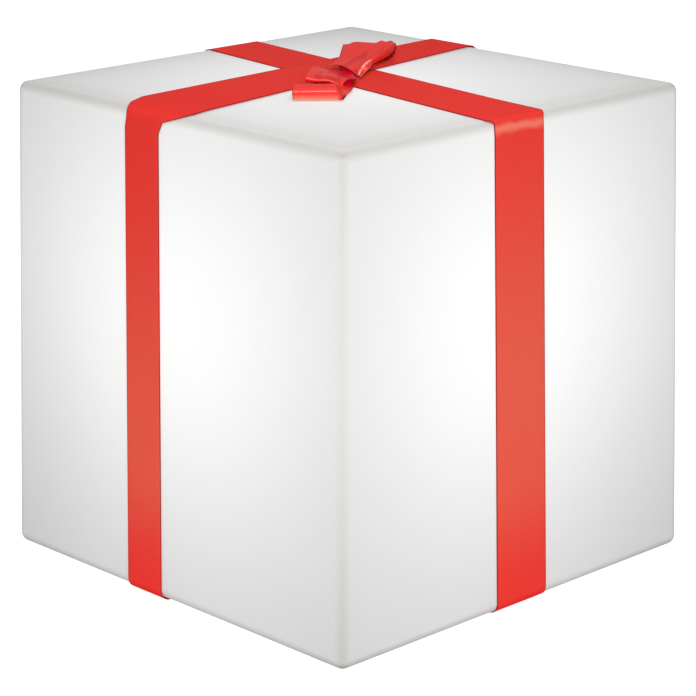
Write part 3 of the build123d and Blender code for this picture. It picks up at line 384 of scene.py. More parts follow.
LIT_SIDE_FROM, LIT_SIDE_FULL, LIT_SIDE_DROP = 70 * MM, 190 * MM, 78 * MM
SATIN_FAR_TINT = (0.85, 0.10, 0.08, 1.0)
# Painted highlight: the paler colour of the streak along the front ribbon's bend, and the heights it spans.
SATIN_BEND_HIGHLIGHT = (0.90, 0.18, 0.125, 1.0)
STREAK_SCALE, STREAK_DRIFT, STREAK_DEPTH = 45.0, 9 * MM, 20 * MM
STREAK_LOW, STREAK_MIDDLE, STREAK_HIGH = 390 * MM, 396 * MM, 401 * MM
NOISE_MIDDLE = 0.5

satin_group, satin_in, satin_out = new_group(
    "satin weave", {"Cloth": VECTOR}, {"Height": FLOAT, "Tone": FLOAT, "Edge": FLOAT},
)
satin_yarn = vector_math("MULTIPLY", satin_in["Cloth"], YARN_SCALE)[0]
satin_tone = noise(satin_yarn, 1.0, YARN_DETAIL, noise_dimensions="2D")
satin_across, satin_along = split_place(satin_in["Cloth"])[:2]
satin_rib = math("MULTIPLY", math("SINE", math("MULTIPLY", satin_along, RIB_TURNS)), RIB_SHARE)
satin_side = math("ABSOLUTE", math("SUBTRACT", satin_across, CLOTH_MIDDLE))
set_inputs(satin_out, {
    "Height": math("ADD", satin_rib, satin_tone),
    "Tone": satin_tone,
    "Edge": ramp(satin_side, BOUND_START, BOUND_FULL),
})


def cloth_place(tree):
    """The place on a flat strip of cloth: the share across it, and metres along it."""
    return add_node(tree, "ShaderNodeUVMap", uv_map="cloth").outputs[0]


def satin(name, coat, lit, patch, painted_colour):
    """Red satin with a fine weave, darker bound edges and a gloss of its own. The box lights it up in the
    colour that lit works out from the place. Patch gives the share of painted_colour: a painted highlight on
    the front ribbon's bend and the tie, and painted shade in the bow's folds and creases."""
    material, shader = new_surface(name)
    place = object_place(shader.id_data)
    weave = use_group(shader.id_data, satin_group, Cloth=cloth_place(shader.id_data))
    face = blend_colours(patch(place), blend_colours(weave["Tone"], SATIN_RED, SATIN_DEEP), painted_colour)
    set_inputs(shader, {
        "Base Color": blend_colours(weave["Edge"], face, SATIN_EDGE),
        "Roughness": drifting(weave["Tone"], SATIN_ROUGHNESS),
        "Normal": raised(weave["Height"], SATIN_BUMP, SATIN_DEPTH),
        "Specular IOR Level": SATIN_GLOSS,
        "Specular Tint": SATIN_FAR_TINT,
        "Metallic": SATIN_METAL,
        "Coat Weight": coat,
        "Coat Roughness": SATIN_COAT_ROUGHNESS,
        "Coat IOR": SATIN_COAT_IOR,
        "Emission Color": scaled(lit(place), math("SUBTRACT", 1.0, weave["Edge"])),
        "Emission Strength": 1.0,
    })
    return material


def lit_through(place):
    """The box's light that comes through a ribbon. It starts lower down on the side ribbon."""
    glow = use_group(place.id_data, glow_group, Place=place)["Glow"]
    x, _, z = split_place(place)
    drop = ramp(math("ABSOLUTE", x), LIT_SIDE_FROM, LIT_SIDE_FULL, 0.0, LIT_SIDE_DROP)
    rise = ramp(z, LIT_FROM, LIT_UP_TO)
    fall = ramp(math("ADD", z, drop), LIT_DOWN_FROM, LIT_DOWN_TO, 1.0, 0.0)
    return scaled(SATIN_GLOW, math("MULTIPLY", glow, math("MULTIPLY", rise, fall)))


def fold_line(across, height, heading, folds):
    """Points along a strip seen from its edge, from folds of (length, turn in degrees): distance,
    place across the box, height."""
    distance = 0.0
    points = [(distance, across, height)]
    for length, turn in folds:
        steps = BEND_STEPS if turn else RUN_STEPS
        for _ in range(steps):
            heading += radians(turn / steps / 2)
            across += cos(heading) * length / steps
            height += sin(heading) * length / steps
            heading += radians(turn / steps / 2)
            distance += length / steps
            points.append((distance, across, height))
    return points


def cloth_strip(name, rows, distances, material, thickness):
    """A strip of cloth through rows of points, with its own flat coordinates: share across, metres along."""
    shape = bmesh.new()
    flat = shape.loops.layers.uv.new("cloth")
    across, along = len(rows[0]) - 1, len(rows) - 1
    bmesh.ops.create_grid(shape, x_segments=across, y_segments=along, size=GRID_HALF)
    for vertex in shape.verts:
        row = round((vertex.co.y + GRID_HALF) * along)
        column = round((vertex.co.x + GRID_HALF) * across)
        for loop in vertex.link_loops:
            loop[flat].uv = (column / across, distances[row])
        vertex.co = rows[row][column]
    for face in shape.faces:
        face.smooth = True
    piece = finish_mesh(name, shape, material)
    solid = piece.modifiers.new("thickness", "SOLIDIFY")
    solid.thickness = thickness
    solid.offset = 0.0
    evened = piece.modifiers.new("even shading", "WEIGHTED_NORMAL")
    evened.weight = FLATTEST
    return piece


def box_folds(lift, near_radius, shelf):
    """The folds of a ribbon round the box at a lift from it, and where the first one starts. The wall's last
    part before the near top bend, and the top's first part after it, are folds of their own."""
    turn_low, turn_high = RIGHT_ANGLE + SHELL_LEAN, RIGHT_ANGLE - SHELL_LEAN
    lean, stand = tan(SHELL_LEAN), lift / cos(SHELL_LEAN)
    corner_low = SHELL_EDGE / 2 + stand + lift * lean
    corner_high = SHELL_EDGE / 2 - SHELL_HEIGHT * lean + stand - lift * lean
    radius = SHELL_ROUNDING + lift
    cut_low, cut_near, cut_far = (
        size * tan(turn / 2)
        for size, turn in ((radius, turn_low), (near_radius, turn_high), (radius, turn_high))
    )
    wall = sqrt((corner_low - corner_high) ** 2 + (SHELL_HEIGHT + 2 * lift) ** 2) - cut_low
    tuck_start = SHELL_EDGE / 2 - RIBBON_TUCK
    low, high = (radius * turn_low, -90 - SHELL_LEAN_DEGREES), (radius * turn_high, -90 + SHELL_LEAN_DEGREES)
    near = (near_radius * turn_high, -90 + SHELL_LEAN_DEGREES)
    tuck = (corner_low - cut_low - tuck_start, 0.0)
    over = 2 * corner_high - cut_near - cut_far
    folds = [
        tuck, low, (wall - cut_near - RIBBON_FLARE, 0.0), (RIBBON_FLARE, 0.0), near, (shelf, 0.0),
        (over - shelf, 0.0), high, (wall - cut_far, 0.0), low, tuck,
    ]
    return folds, -tuck_start, SHELL_BOTTOM - lift


def lay_ribbon(name, lift, near_radius, shelf, direction, sideways, edges):
    """A ribbon round the box. Edges gives, for each fold's start, the left and right edge in millimetres."""
    folds, start, level = box_folds(lift, near_radius, shelf)
    points = fold_line(start, level, 2 * RIGHT_ANGLE, folds)
    marks = [0.0]
    for length, _ in folds:
        marks.append(marks[-1] + length)
    rows = []
    for distance, across, height in points:
        fold = max(i for i in range(len(folds)) if marks[i] <= distance + SMALLEST)
        share = min((distance - marks[fold]) / folds[fold][0], 1.0)
        shares = (share, share)
        if folds[fold][1]:
            shares = (1 - cos(RIGHT_ANGLE * share), sin(RIGHT_ANGLE * share))
        left, right = (
            (a + (b - a) * part) * MM for a, b, part in zip(edges[fold], edges[fold + 1], shares)
        )
        middle = direction * across + Vector((0, 0, height))
        rows.append([
            middle + sideways * (left + (right - left) * i / RIBBON_ACROSS_STEPS)
            for i in range(RIBBON_ACROSS_STEPS + 1)
        ])
    piece = cloth_strip(name, rows, [point[0] for point in points], ribbon_satin, RIBBON_THICKNESS)
    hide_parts(name.replace("_satin", "_ribbon"))
    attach(piece, "box")


def painted_bend_highlight(place):
    """A painted highlight: the paler streak on the front ribbon along its bend over the box's edge."""
    y, z = split_place(place)[1:]
    drift = math("MULTIPLY", math("SUBTRACT", noise(place, STREAK_SCALE), NOISE_MIDDLE), STREAK_DRIFT)
    level = math("ADD", z, drift)
    above = ramp(level, STREAK_LOW, STREAK_MIDDLE)
    below = ramp(level, STREAK_MIDDLE, STREAK_HIGH, 1.0, 0.0)
    face = math("LESS_THAN", y, STREAK_DEPTH - SHELL_EDGE / 2)
    return math("MULTIPLY", math("MULTIPLY", above, below), face)


# The ribbons' satin carries a painted highlight on the front ribbon's bend.
ribbon_satin = satin("ribbon satin", RIBBON_COAT, lit_through, painted_bend_highlight, SATIN_BEND_HIGHLIGHT)
FRONT_CREASE, FRONT_SHELF = 4 * MM, 55 * MM
SIDE_CREASE, SIDE_SHELF = SHELL_ROUNDING + SIDE_LIFT, 18 * MM
FRONT_LOW, FRONT_FLARE, FRONT_BEND = (-28.4, 29.6), (-31.2, 24.3), (-31.8, 23.9)
FRONT_OVER, FRONT_TOP, FRONT_FAR = (-37.4, 25.0), (-30.3, 29.9), (11.5, 68.3)
SIDE_LOW, SIDE_FLARE, SIDE_BEND = (-50.4, -9.0), (-50.6, -10.6), (-48.8, -6.0)
SIDE_OVER, SIDE_TOP, SIDE_FAR = (-53.0, 19.5), (-62.0, 14.8), (-83.5, -36.0)
lay_ribbon(
    "front_satin", FRONT_LIFT, FRONT_CREASE, FRONT_SHELF, Vector((0, 1, 0)), Vector((1, 0, 0)),
    [FRONT_LOW] * 3 + [FRONT_FLARE, FRONT_BEND, FRONT_OVER, FRONT_TOP] + [FRONT_FAR] * 5,
)
lay_ribbon(
    "side_satin", SIDE_LIFT, SIDE_CREASE, SIDE_SHELF, Vector((1, 0, 0)), Vector((0, -1, 0)),
    [SIDE_LOW] * 3 + [SIDE_FLARE, SIDE_BEND, SIDE_OVER, SIDE_TOP] + [SIDE_FAR] * 5,
)


# Tapes: four strips of double-sided tape between the box and the turned-under ends of the ribbons. The film
# is clear, a little yellow, and marked by the rollers that it came off.
TAPE_CLEAR = (0.80, 0.78, 0.70, 1.0)
TAPE_STREAKED = (0.70, 0.68, 0.60, 1.0)
TAPE_SHOWS = 0.6
tape_shader = moulded(
    "clear tape", TAPE_CLEAR, TAPE_STREAKED, roughness=0.2, grains=300, clouds=90, bump=0.1,
    nodes=["ribbon_tapes"],
)[1]
set_inputs(tape_shader, {"Alpha": TAPE_SHOWS})


# Bow: three loops of the same satin, gathered to a knot where the ribbons cross. The front one ends in a
# roll, the left one lies on it with a wavy fold, and the back one arches over the knot towards the front.
BOW_TURN = radians(44)
BOW_ACROSS = Vector((cos(BOW_TURN), -sin(BOW_TURN), 0))
BOW_AWAY = Vector((sin(BOW_TURN), cos(BOW_TURN), 0))
BOW_UP = Vector((0, 0, 1))
BOW_PLACE = Vector((23.5 * MM, 14.7 * MM, SHELL_BOTTOM + SHELL_HEIGHT))
BOW_THICKNESS = 0.35 * MM
BOW_SMOOTHING = 2
BOW_COAT = 0.14
NOSE_GLOW = (0.17, 0.29, 0.12, 1.0)
NOSE_POCKET = (
    (BOW_UP, 6.0 * MM, 1.0 * MM), (BOW_AWAY, -107 * MM, -111 * MM), (BOW_ACROSS, -13 * MM, -15.5 * MM),
)
ARCH_GLOW = (0.26, 0.0, 0.010, 1.0)
# Painted shade: the darker red of the bow's deep folds and creases.
HOLLOW_SHADE_RED = (0.40, 0.008, 0.014, 1.0)
HOLLOW_ACROSS, HOLLOW_AWAY = 0.814, 0.581
HOLLOW_WAY = (BOW_ACROSS * HOLLOW_ACROSS + BOW_AWAY * HOLLOW_AWAY).normalized()
ARCH_POCKET = (
    (BOW_UP, 6.8 * MM, 4.6 * MM), (HOLLOW_WAY, -43 * MM, -24 * MM),
    (BOW_AWAY, 20 * MM, 5 * MM), (BOW_ACROSS, 2.5 * MM, 0.5 * MM),
)
TUBE_POCKET = (
    (BOW_UP, 5.8 * MM, 4.4 * MM), (BOW_ACROSS, -14 * MM, -11 * MM),
    (BOW_AWAY, -71 * MM, -66 * MM), (BOW_AWAY, -44 * MM, -52 * MM),
)
# Painted shade along soft creases that run to the knot: their noise scale, how dark, and where they start.
CREASE_SCALE, CREASE_SHARE = (5.0, 22.0, 1.0), 0.45
CREASE_START, CREASE_FULL = 0.47, 0.68
# Painted highlight on the tie's ridge: its colour, its place and width across the strip, and its breaks.
TIE_HIGHLIGHT = (1.0, 0.56, 0.46, 1.0)
TIE_RIDGE, TIE_RIDGE_HALF = 0.40, 0.34
TIE_BREAKS, TIE_BROKEN = 140.0, 0.6
WEAR_AND_BREAK_DETAIL, WEAR_AND_BREAK_START, WEAR_AND_BREAK_FULL = 6.0, 0.48, 0.68


def bow_point(across, away, height):
    """A point of the bow from millimetres across the view, away from the viewer and above the box."""
    return BOW_PLACE + (BOW_ACROSS * across + BOW_AWAY * away + BOW_UP * height) * MM


def bow_sheet(name, node, stations, columns, material):
    """A gathered strip of satin. Each station across the strip gives the points of its left edge, its right
    crease and what falls beyond it to the right edge, how far its middle stands up, and how strongly its
    columns ripple. Each column gives its share of the way from left edge to crease, and its ripple."""
    rows = []
    for left, crease, *beyond, crown, ripple in stations:
        row = []
        for share, rises in columns:
            across, away, height = Vector(left).lerp(Vector(crease), share)
            row.append(bow_point(across, away, height + crown * 4 * share * (1 - share) + ripple * rises))
        rows.append(row + [bow_point(*point) for point in beyond])
    middle = len(columns) // 2
    distances = [0.0]
    for before, after in zip(rows, rows[1:]):
        distances.append(distances[-1] + (after[middle] - before[middle]).length)
    piece = cloth_strip(name, rows, distances, material, BOW_THICKNESS)
    smooth = piece.modifiers.new("smooth folds", "SUBSURF")
    smooth.levels = BOW_SMOOTHING
    smooth.render_levels = BOW_SMOOTHING
    piece.modifiers.move(len(piece.modifiers) - 1, 0)
    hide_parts(node)
    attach(piece, "box")


def bow_reach(place, direction, start, full):
    """A smooth step of the distance from the bow's middle along a direction, from nothing to full."""
    reach = vector_math("DOT_PRODUCT", place, direction)["Value"]
    middle = BOW_PLACE.dot(direction)
    ends = (0.0, 1.0) if start < full else (1.0, 0.0)
    return ramp(reach, middle + min(start, full), middle + max(start, full), *ends)


def in_pocket(place, pocket):
    """How far a place lies in a pocket of the bow, which is given as steps along directions."""
    inside = 1.0
    for direction, start, full in pocket:
        inside = math("MULTIPLY", bow_reach(place, direction, start, full), inside)
    return inside


def lit_below(place):
    """The box's light on the bow: on its rolled end, which lies on the bare box, and up through the arch."""
    light = scaled(NOSE_GLOW, in_pocket(place, NOSE_POCKET))
    for pocket in (ARCH_POCKET, TUBE_POCKET):
        light = vector_math("ADD", light, scaled(ARCH_GLOW, in_pocket(place, pocket)))[0]
    return light


def bow_painted_shade(place):
    """Painted shade in the deep folds under the arch and in the left loop's end, where satin sees only
    satin, and along soft creases that run to the knot."""
    drawn = vector_math("MULTIPLY", cloth_place(place.id_data), CREASE_SCALE)[0]
    shade = ramp(noise(drawn, 1.0, noise_dimensions="2D"), CREASE_START, CREASE_FULL, 0.0, CREASE_SHARE)
    for pocket in (ARCH_POCKET, TUBE_POCKET):
        shade = math("MAXIMUM", shade, in_pocket(place, pocket))
    return shade


wear_and_breaks_group, wear_and_breaks_in, wear_and_breaks_out = new_group(
    "handling marks and highlight breaks", {"Place": VECTOR, "Patches": FLOAT}, {"Marks": FLOAT},
)
wear_and_breaks_noise = noise(wear_and_breaks_in["Place"], wear_and_breaks_in["Patches"], WEAR_AND_BREAK_DETAIL)
set_inputs(wear_and_breaks_out, {"Marks": ramp(wear_and_breaks_noise, WEAR_AND_BREAK_START, WEAR_AND_BREAK_FULL)})


def wear_and_highlight_breaks(place, patches):
    """Patches of dust or rubbing on a material, as a mask; on the tie the same patches break up its painted
    highlight.
    """
    return use_group(place.id_data, wear_and_breaks_group, Place=place, Patches=patches)["Marks"]


def tie_painted_highlight(place):
    """A painted highlight on the ridge along the strip that ties the bow, with breaks where the cloth is
    creased.
    """
    across = split_place(cloth_place(place.id_data))[0]
    off = math("ABSOLUTE", math("SUBTRACT", across, TIE_RIDGE))
    # Noise patches break up the tie's painted highlight.
    breaks = math("MULTIPLY", wear_and_highlight_breaks(place, TIE_BREAKS), TIE_BROKEN)
    return math("MULTIPLY", ramp(off, 0.0, TIE_RIDGE_HALF, 1.0, 0.0), math("SUBTRACT", 1.0, breaks))


# The bow's satin has painted shade in its folds and creases; the tie's has a painted highlight on its ridge.
bow_satin = satin("bow satin", BOW_COAT, lit_below, bow_painted_shade, HOLLOW_SHADE_RED)
tie_satin = satin("tie satin", BOW_COAT, lit_below, tie_painted_highlight, TIE_HIGHLIGHT)
ROLLED_COLUMNS = ((0.0, 0.0), (0.3, 0.0), (0.6, 0.0), (0.9, 0.0), (1.0, 0.0))
bow_sheet(
    "front_loop_satin", "bow_front_loop",
    [
        ((-10, -6, 2.9), (-4.5, -6, 2.9), (-3, -6, 2.9), 0, 0),
        ((-22, -40, 2.1), (-7, -40, 1.9), (-3, -40, 1.8), 0, 0),
        ((-37, -70, 1.4), (-12, -70, 1.4), (-5, -68, 1.2), 0, 0),
        ((-47, -99, 0.7), (-14.5, -99, 0.7), (-9, -98, 0.5), 0, 0),
        ((-48.8, -111.5, 0.9), (-12.8, -110.5, 0.9), (-10.6, -109, 0.7), 0, 0),
        ((-50, -115.4, 3.2), (-13, -114.5, 3.2), (-11, -112.5, 1.8), 0, 0),
        ((-50.4, -113.6, 5.9), (-13.4, -112.8, 5.9), (-11.2, -112, 2.2), 0, 0),
        ((-50.5, -115, 8.4), (-14, -114, 8.6), (-11.2, -111.5, 2.4), 0, 0),
        ((-50.4, -111, 11.2), (-14.8, -110.5, 12), (-11, -110, 2.4), 0, 0),
        ((-50, -102, 12.2), (-15.8, -102, 13), (-10.4, -106, 2.4), 0, 0),
        ((-48.5, -91, 9.8), (-15.6, -92, 10.2), (-8.4, -97, 2.2), 0, 0),
        ((-45.5, -80, 7), (-14.2, -81, 7), (-4.8, -83, 2.2), 0, 0),
        ((-40, -66, 5.6), (-12.5, -66, 4.8), (-1.8, -67, 2.2), 0, 0),
        ((-32, -50, 4), (-10, -50, 2.8), (-2.4, -52, 2), 0, 0),
        ((-18, -25, 2.9), (-7, -25, 2.6), (-4, -25, 2.4), 0, 0),
        ((-10, -6, 3.3), (-4.5, -6, 3.3), (-3, -6, 3.3), 0, 0),
    ],
    ROLLED_COLUMNS, bow_satin,
)
WAVY_COLUMNS = ((0.0, 0.5), (0.25, 0.0), (0.5, -0.7), (0.75, 0.8), (1.0, -0.8))
bow_sheet(
    "left_loop_satin", "bow_left_loop",
    [
        ((-12, -6, 3.5), (-7, -6, 3.5), (-5, -6, 3.5), (-3, -6, 3.4), 0, 0),
        ((-21, -35, 4), (-10, -35, 3.4), (-6, -36, 2.9), (-3, -38, 2.6), 0, 0),
        ((-35, -56, 5.8), (-17, -56, 5), (-10, -57, 3.8), (-3.4, -54, 2.5), 0, 0),
        ((-39.6, -65, 6.4), (-18, -65, 5.8), (-11.5, -66, 4), (-5, -65, 2.6), 0, 0.3),
        ((-40.6, -70.5, 8), (-18, -71, 6.8), (-12, -72, 4.4), (-6.4, -71.5, 2.2), 0, 0.8),
        ((-40.6, -71.5, 11), (-19, -71.5, 9.2), (-14.5, -72, 6.6), (-11, -71.5, 3.6), 0, 1),
        ((-40.2, -67, 13), (-19, -67, 11), (-14, -68, 8.6), (-10.4, -69, 6), 0, 1),
        ((-39.4, -58, 13), (-17, -60, 10.6), (-12, -62.5, 9.2), (-8, -65, 8.2), 0, 0.5),
        ((-38, -48, 13.4), (-16, -50, 9), (-8.5, -55, 8), (-3.6, -61, 8.8), -0.4, 0),
        ((-36.4, -38, 13.2), (-15, -40, 7.4), (-6.6, -47, 5.6), (-0.4, -55, 7), -0.8, 0),
        ((-34.6, -24, 12.4), (-14, -26, 5), (-6, -32, 3.4), (0.4, -46, 4.2), -1, 0),
        ((-28, -13, 8), (-12, -14, 3.7), (-6, -16, 3.4), (0.8, -26, 2.8), -1, 0),
        ((-17, -3, 3.8), (-9, -4, 3.8), (-6, -5, 3.8), (-4, -6, 3.8), 0, 0),
    ],
    WAVY_COLUMNS, bow_satin,
)
STREAKY_COLUMNS = (
    (0.0, -2.0), (0.15, -1.8), (0.2, 0.2), (0.34, 0.0), (0.54, -0.6),
    (0.72, -1.6), (0.81, 2.0), (0.905, -1.4), (1.0, 1.8),
)
bow_sheet(
    "back_loop_satin", "bow_back_loop",
    [
        ((-8, -11, 3), (0, -11, 3), (1.6, -11, 3), 0, 0),
        ((-13, 4, 4.4), (4, 4, 3.1), (6, 4, 3.1), 0, 0),
        ((-14.5, 30, 6.4), (13, 30, 2.4), (17, 30, 2.4), 0, 0),
        ((-12, 58, 5.6), (26, 60, 2.3), (30, 60, 2.3), 0, 0),
        ((-9.6, 71, 3.4), (29, 71, 3.4), (33, 68, 3.4), 0, 0),
        ((-9.8, 75, 7), (30, 75, 7), (34.4, 70, 7), 0, 0.4),
        ((-9.9, 76, 11.2), (30, 76, 11.8), (34.9, 71, 10.8), 0, 0.8),
        ((-10, 73.5, 14.8), (30, 73.5, 15.4), (34.6, 72, 14.2), 0, 1),
        ((-10.4, 67, 14.6), (30, 67.5, 15.2), (34.4, 68, 11.4), 0, 1),
        ((-12.2, 48, 12.6), (27, 50, 11.8), (31.4, 60, 6), 0, 1),
        ((-13.2, 34, 10), (20, 36, 9.2), (24.6, 49, 4.4), 0.3, 0.5),
        ((-14.4, 26, 8.2), (16, 29, 7.6), (19.6, 39, 3.6), 0.3, 0.1),
        ((-17, 21, 8), (11, 22, 7.8), (14.4, 29, 3.2), 0.8, 0),
        ((-20.5, 15, 6.2), (5, 7, 5.8), (7.4, 9, 3.1), 2, 0),
        ((-26, 10.5, 4.2), (0.6, -14, 2.5), (2.2, -21, 2.1), 5.2, 0),
    ],
    STREAKY_COLUMNS, bow_satin,
)
TIE_COLUMNS = ((0.0, 0.0), (0.35, 0.0), (0.7, 0.0), (1.0, 0.0))
bow_sheet(
    "knot_satin", "bow_knot",
    [
        ((1.6, -14, 2.8), (3, -17, 2.6), (3.6, -27, 2.1), 0.4, 0),
        ((2.4, -6, 4), (4.6, -8, 3.8), (5.8, -15, 2.4), 1.2, 0),
        ((4.2, 3, 5.2), (6.6, 2, 4.8), (8, -4, 2.6), 1.6, 0),
        ((6.6, 11, 6.2), (9, 10, 5.8), (10.4, 6, 2.9), 1.8, 0),
        ((9.2, 19, 7), (11.6, 18, 6.4), (12.6, 15, 3.2), 1.8, 0),
        ((11.6, 25.5, 7.2), (13.6, 25, 6.6), (14.2, 24, 3.6), 1.6, 0),
        ((12.8, 30, 6.4), (14.4, 30, 5.8), (14.8, 30, 3.8), 1, 0),
        ((13.8, 33, 4.2), (14.8, 33.2, 4), (15.2, 33.4, 3.6), 0, 0),
    ],
    TIE_COLUMNS, tie_satin,
)


# Knot pad: a small square of white foam with a sticky face each side, between the crossing ribbons and the
# bow. It is cut from sheet, so its sides bulge a little where the bow is pressed down on it.
PAD_FOAM = (0.78, 0.78, 0.75, 1.0)
PAD_PORES = (0.55, 0.55, 0.52, 1.0)
PAD_BULGE = 1.04
PAD_ROUNDING = 0.3 * MM
PAD_ROUND_STEPS, PAD_ROUND_PROFILE = 3, 0.5
pad_low, pad_high = (Vector(corner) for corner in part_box("bow_pad"))
pad_middle = Vector((BOW_PLACE.x, BOW_PLACE.y, (pad_low + pad_high).z / 2))
pad_reach = (pad_high - pad_low).x / (cos(BOW_TURN) + sin(BOW_TURN))
pad_shape = bmesh.new()
bmesh.ops.create_cube(pad_shape, size=1.0)
bmesh.ops.scale(pad_shape, vec=(pad_reach, pad_reach, (pad_high - pad_low).z), verts=pad_shape.verts)
bmesh.ops.bevel(
    pad_shape, geom=pad_shape.edges[:], offset=PAD_ROUNDING, segments=PAD_ROUND_STEPS,
    profile=PAD_ROUND_PROFILE, affect="EDGES", material=-1,
)
pad_waist = [vertex for vertex in pad_shape.verts if abs(vertex.co.z) < PAD_ROUNDING]
bmesh.ops.scale(pad_shape, vec=(PAD_BULGE, PAD_BULGE, 1.0), verts=pad_waist)
bmesh.ops.rotate(pad_shape, matrix=Matrix.Rotation(-BOW_TURN, 3, "Z"), verts=pad_shape.verts)
bmesh.ops.translate(pad_shape, vec=pad_middle, verts=pad_shape.verts)
pad_finish = moulded("white foam", PAD_FOAM, PAD_PORES, roughness=0.9, grains=1800, clouds=900, bump=0.6)[0]
pad_piece = finish_mesh("knot_foam", pad_shape, pad_finish)
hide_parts("bow_pad")
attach(pad_piece, "box")


# Feet: four turned-down discs of black rubber, glued under the corners of the box. They pick up dust from
# the ground where they stand.
RUBBER_BLACK = (0.016, 0.016, 0.016, 1.0)
RUBBER_WORN = (0.034, 0.033, 0.032, 1.0)
FLOOR_DUST = (0.16, 0.15, 0.135, 1.0)
DUST_TOP, DUST_PATCHES = 1.4 * MM, 120.0

foot_shader, foot_face, foot_place = moulded(
    "black rubber", RUBBER_BLACK, RUBBER_WORN, roughness=0.72, grains=900, clouds=60, bump=0.3,
    nodes=["rubber_feet"],
)[1:]
foot_low = ramp(split_place(foot_place)[2], 0.0, DUST_TOP, 1.0, 0.0)
foot_dust = math("MULTIPLY", foot_low, wear_and_highlight_breaks(foot_place, DUST_PATCHES))
set_inputs(foot_shader, {"Base Color": blend_colours(foot_dust, foot_face, FLOOR_DUST)})


# Lamp base: a round plate of pale plastic that closes the recess under the box, on a silicone gasket. Six
# countersunk screws go into brass inserts in the box, and a silicone plug lets the lamp breathe.
PLATE_PALE = (0.60, 0.60, 0.58, 1.0)
PLATE_CLOUDED = (0.55, 0.55, 0.53, 1.0)
PLATE_SCUFFED = (0.70, 0.70, 0.68, 1.0)
PLATE_PATCHES, PLATE_SCUFF_SHARE = 45.0, 0.5
SILICONE_GREY = (0.24, 0.245, 0.25, 1.0)
SILICONE_CLOUDED = (0.29, 0.295, 0.30, 1.0)
SILICONE_GLOSS = 0.35
BRASS = (0.72, 0.50, 0.20, 1.0)
BRASS_DULL = (0.55, 0.36, 0.13, 1.0)
ZINC = (0.62, 0.64, 0.66, 1.0)
ZINC_DULL = (0.42, 0.44, 0.46, 1.0)
THREAD_PITCH = 0.8 * MM
FULL_TURN = radians(360)
DRAWN_DETAIL, DRAWN_START, DRAWN_FULL = 4.0, 0.3, 0.7
DULL_ROUGHER, BRIGHT_SMOOTHER = 0.1, 0.05
LINES_BUMP, THREAD_BUMP, LINES_DEPTH = 0.12, 0.5, 0.1 * MM

plate_shader, plate_face, plate_place = moulded(
    "base plastic", PLATE_PALE, PLATE_CLOUDED, roughness=0.55, grains=1400, clouds=25, bump=0.35,
    nodes=["base_plate"],
)[1:]
plate_marks = math("MULTIPLY", wear_and_highlight_breaks(plate_place, PLATE_PATCHES), PLATE_SCUFF_SHARE)
set_inputs(plate_shader, {"Base Color": blend_colours(plate_marks, plate_face, PLATE_SCUFFED)})

silicone_shader = moulded(
    "grey silicone", SILICONE_GREY, SILICONE_CLOUDED, roughness=0.45, grains=600, clouds=80, bump=0.15,
    nodes=["base_gasket", "vent_plug", "button_seal", "cover_seal"],
)[1]
set_inputs(silicone_shader, {"Specular IOR Level": SILICONE_GLOSS})

drawn_group, drawn_in, drawn_out = new_group(
    "drawn lines", {"Place": VECTOR, "Stretch": VECTOR}, {"Height": FLOAT, "Tone": FLOAT},
)
drawn_place = vector_math("MULTIPLY", drawn_in["Place"], drawn_in["Stretch"])[0]
drawn_lines = noise(drawn_place, 1.0, DRAWN_DETAIL)
set_inputs(drawn_out, {"Height": drawn_lines, "Tone": ramp(drawn_lines, DRAWN_START, DRAWN_FULL)})


def bare_metal(name, bright, dull, roughness, stretch, nodes, thread=None):
    """Metal for CAD pieces with fine lines from drawing or turning, coarse along the axes where stretch is
    small, and with thread along the upright axis where a pitch is given."""
    material, shader = new_surface(name)
    place = object_place(shader.id_data)
    lines = use_group(shader.id_data, drawn_group, Place=place, Stretch=stretch)
    height, bump = lines["Height"], LINES_BUMP
    if thread:
        turn = math("MULTIPLY", split_place(place)[2], FULL_TURN / thread)
        height, bump = math("ADD", math("SINE", turn), height), THREAD_BUMP
    set_inputs(shader, {
        "Metallic": 1.0,
        "Base Color": blend_colours(lines["Tone"], dull, bright),
        "Roughness": ramp(lines["Tone"], 0.0, 1.0, roughness + DULL_ROUGHER, roughness - BRIGHT_SMOOTHER),
        "Normal": raised(height, bump, LINES_DEPTH),
    })
    dress(material, nodes)


bare_metal(
    "brass", BRASS, BRASS_DULL, roughness=0.3, stretch=(900, 900, 90), nodes=["screw_inserts"],
    thread=THREAD_PITCH,
)
bare_metal(
    "zinc plate", ZINC, ZINC_DULL, roughness=0.28, stretch=(400, 400, 400),
    nodes=[
        "base_screws", "board_screws", "housing_screws", "cradle_screws", "clamp_screws", "plate_screws",
        "led_board_screws",
    ],
    thread=THREAD_PITCH,
)


# Power button and charging port: a soft-touch button under the plate works the switch through its plunger. A
# rubber cover on a steel pin closes over the socket, and a clear pipe beside it brings the charge light out.
BUTTON_GREY = (0.45, 0.46, 0.47, 1.0)
BUTTON_CLOUDED = (0.40, 0.41, 0.42, 1.0)
BUTTON_RING = (0.80, 0.80, 0.79, 1.0)
BUTTON_RING_RADIUS, BUTTON_RING_HALF, BUTTON_RING_FADE = 4.6 * MM, 0.6 * MM, 0.1 * MM
COVER_BLACK = (0.030, 0.031, 0.033, 1.0)
COVER_WORN = (0.055, 0.056, 0.058, 1.0)
COVER_PATCHES, COVER_WORN_SHARE = 160.0, 0.4
SWITCH_BLACK = (0.022, 0.022, 0.024, 1.0)
SWITCH_CLOUDED = (0.035, 0.035, 0.037, 1.0)
NICKEL = (0.70, 0.67, 0.62, 1.0)
NICKEL_DULL = (0.50, 0.48, 0.44, 1.0)
PIPE_CLEAR = (0.92, 0.96, 0.94, 1.0)
PIPE_CLOUDED = (0.85, 0.90, 0.88, 1.0)
PIPE_CLEARNESS, PIPE_IOR = 0.9, 1.49
FLAT = (1.0, 1.0, 0.0)

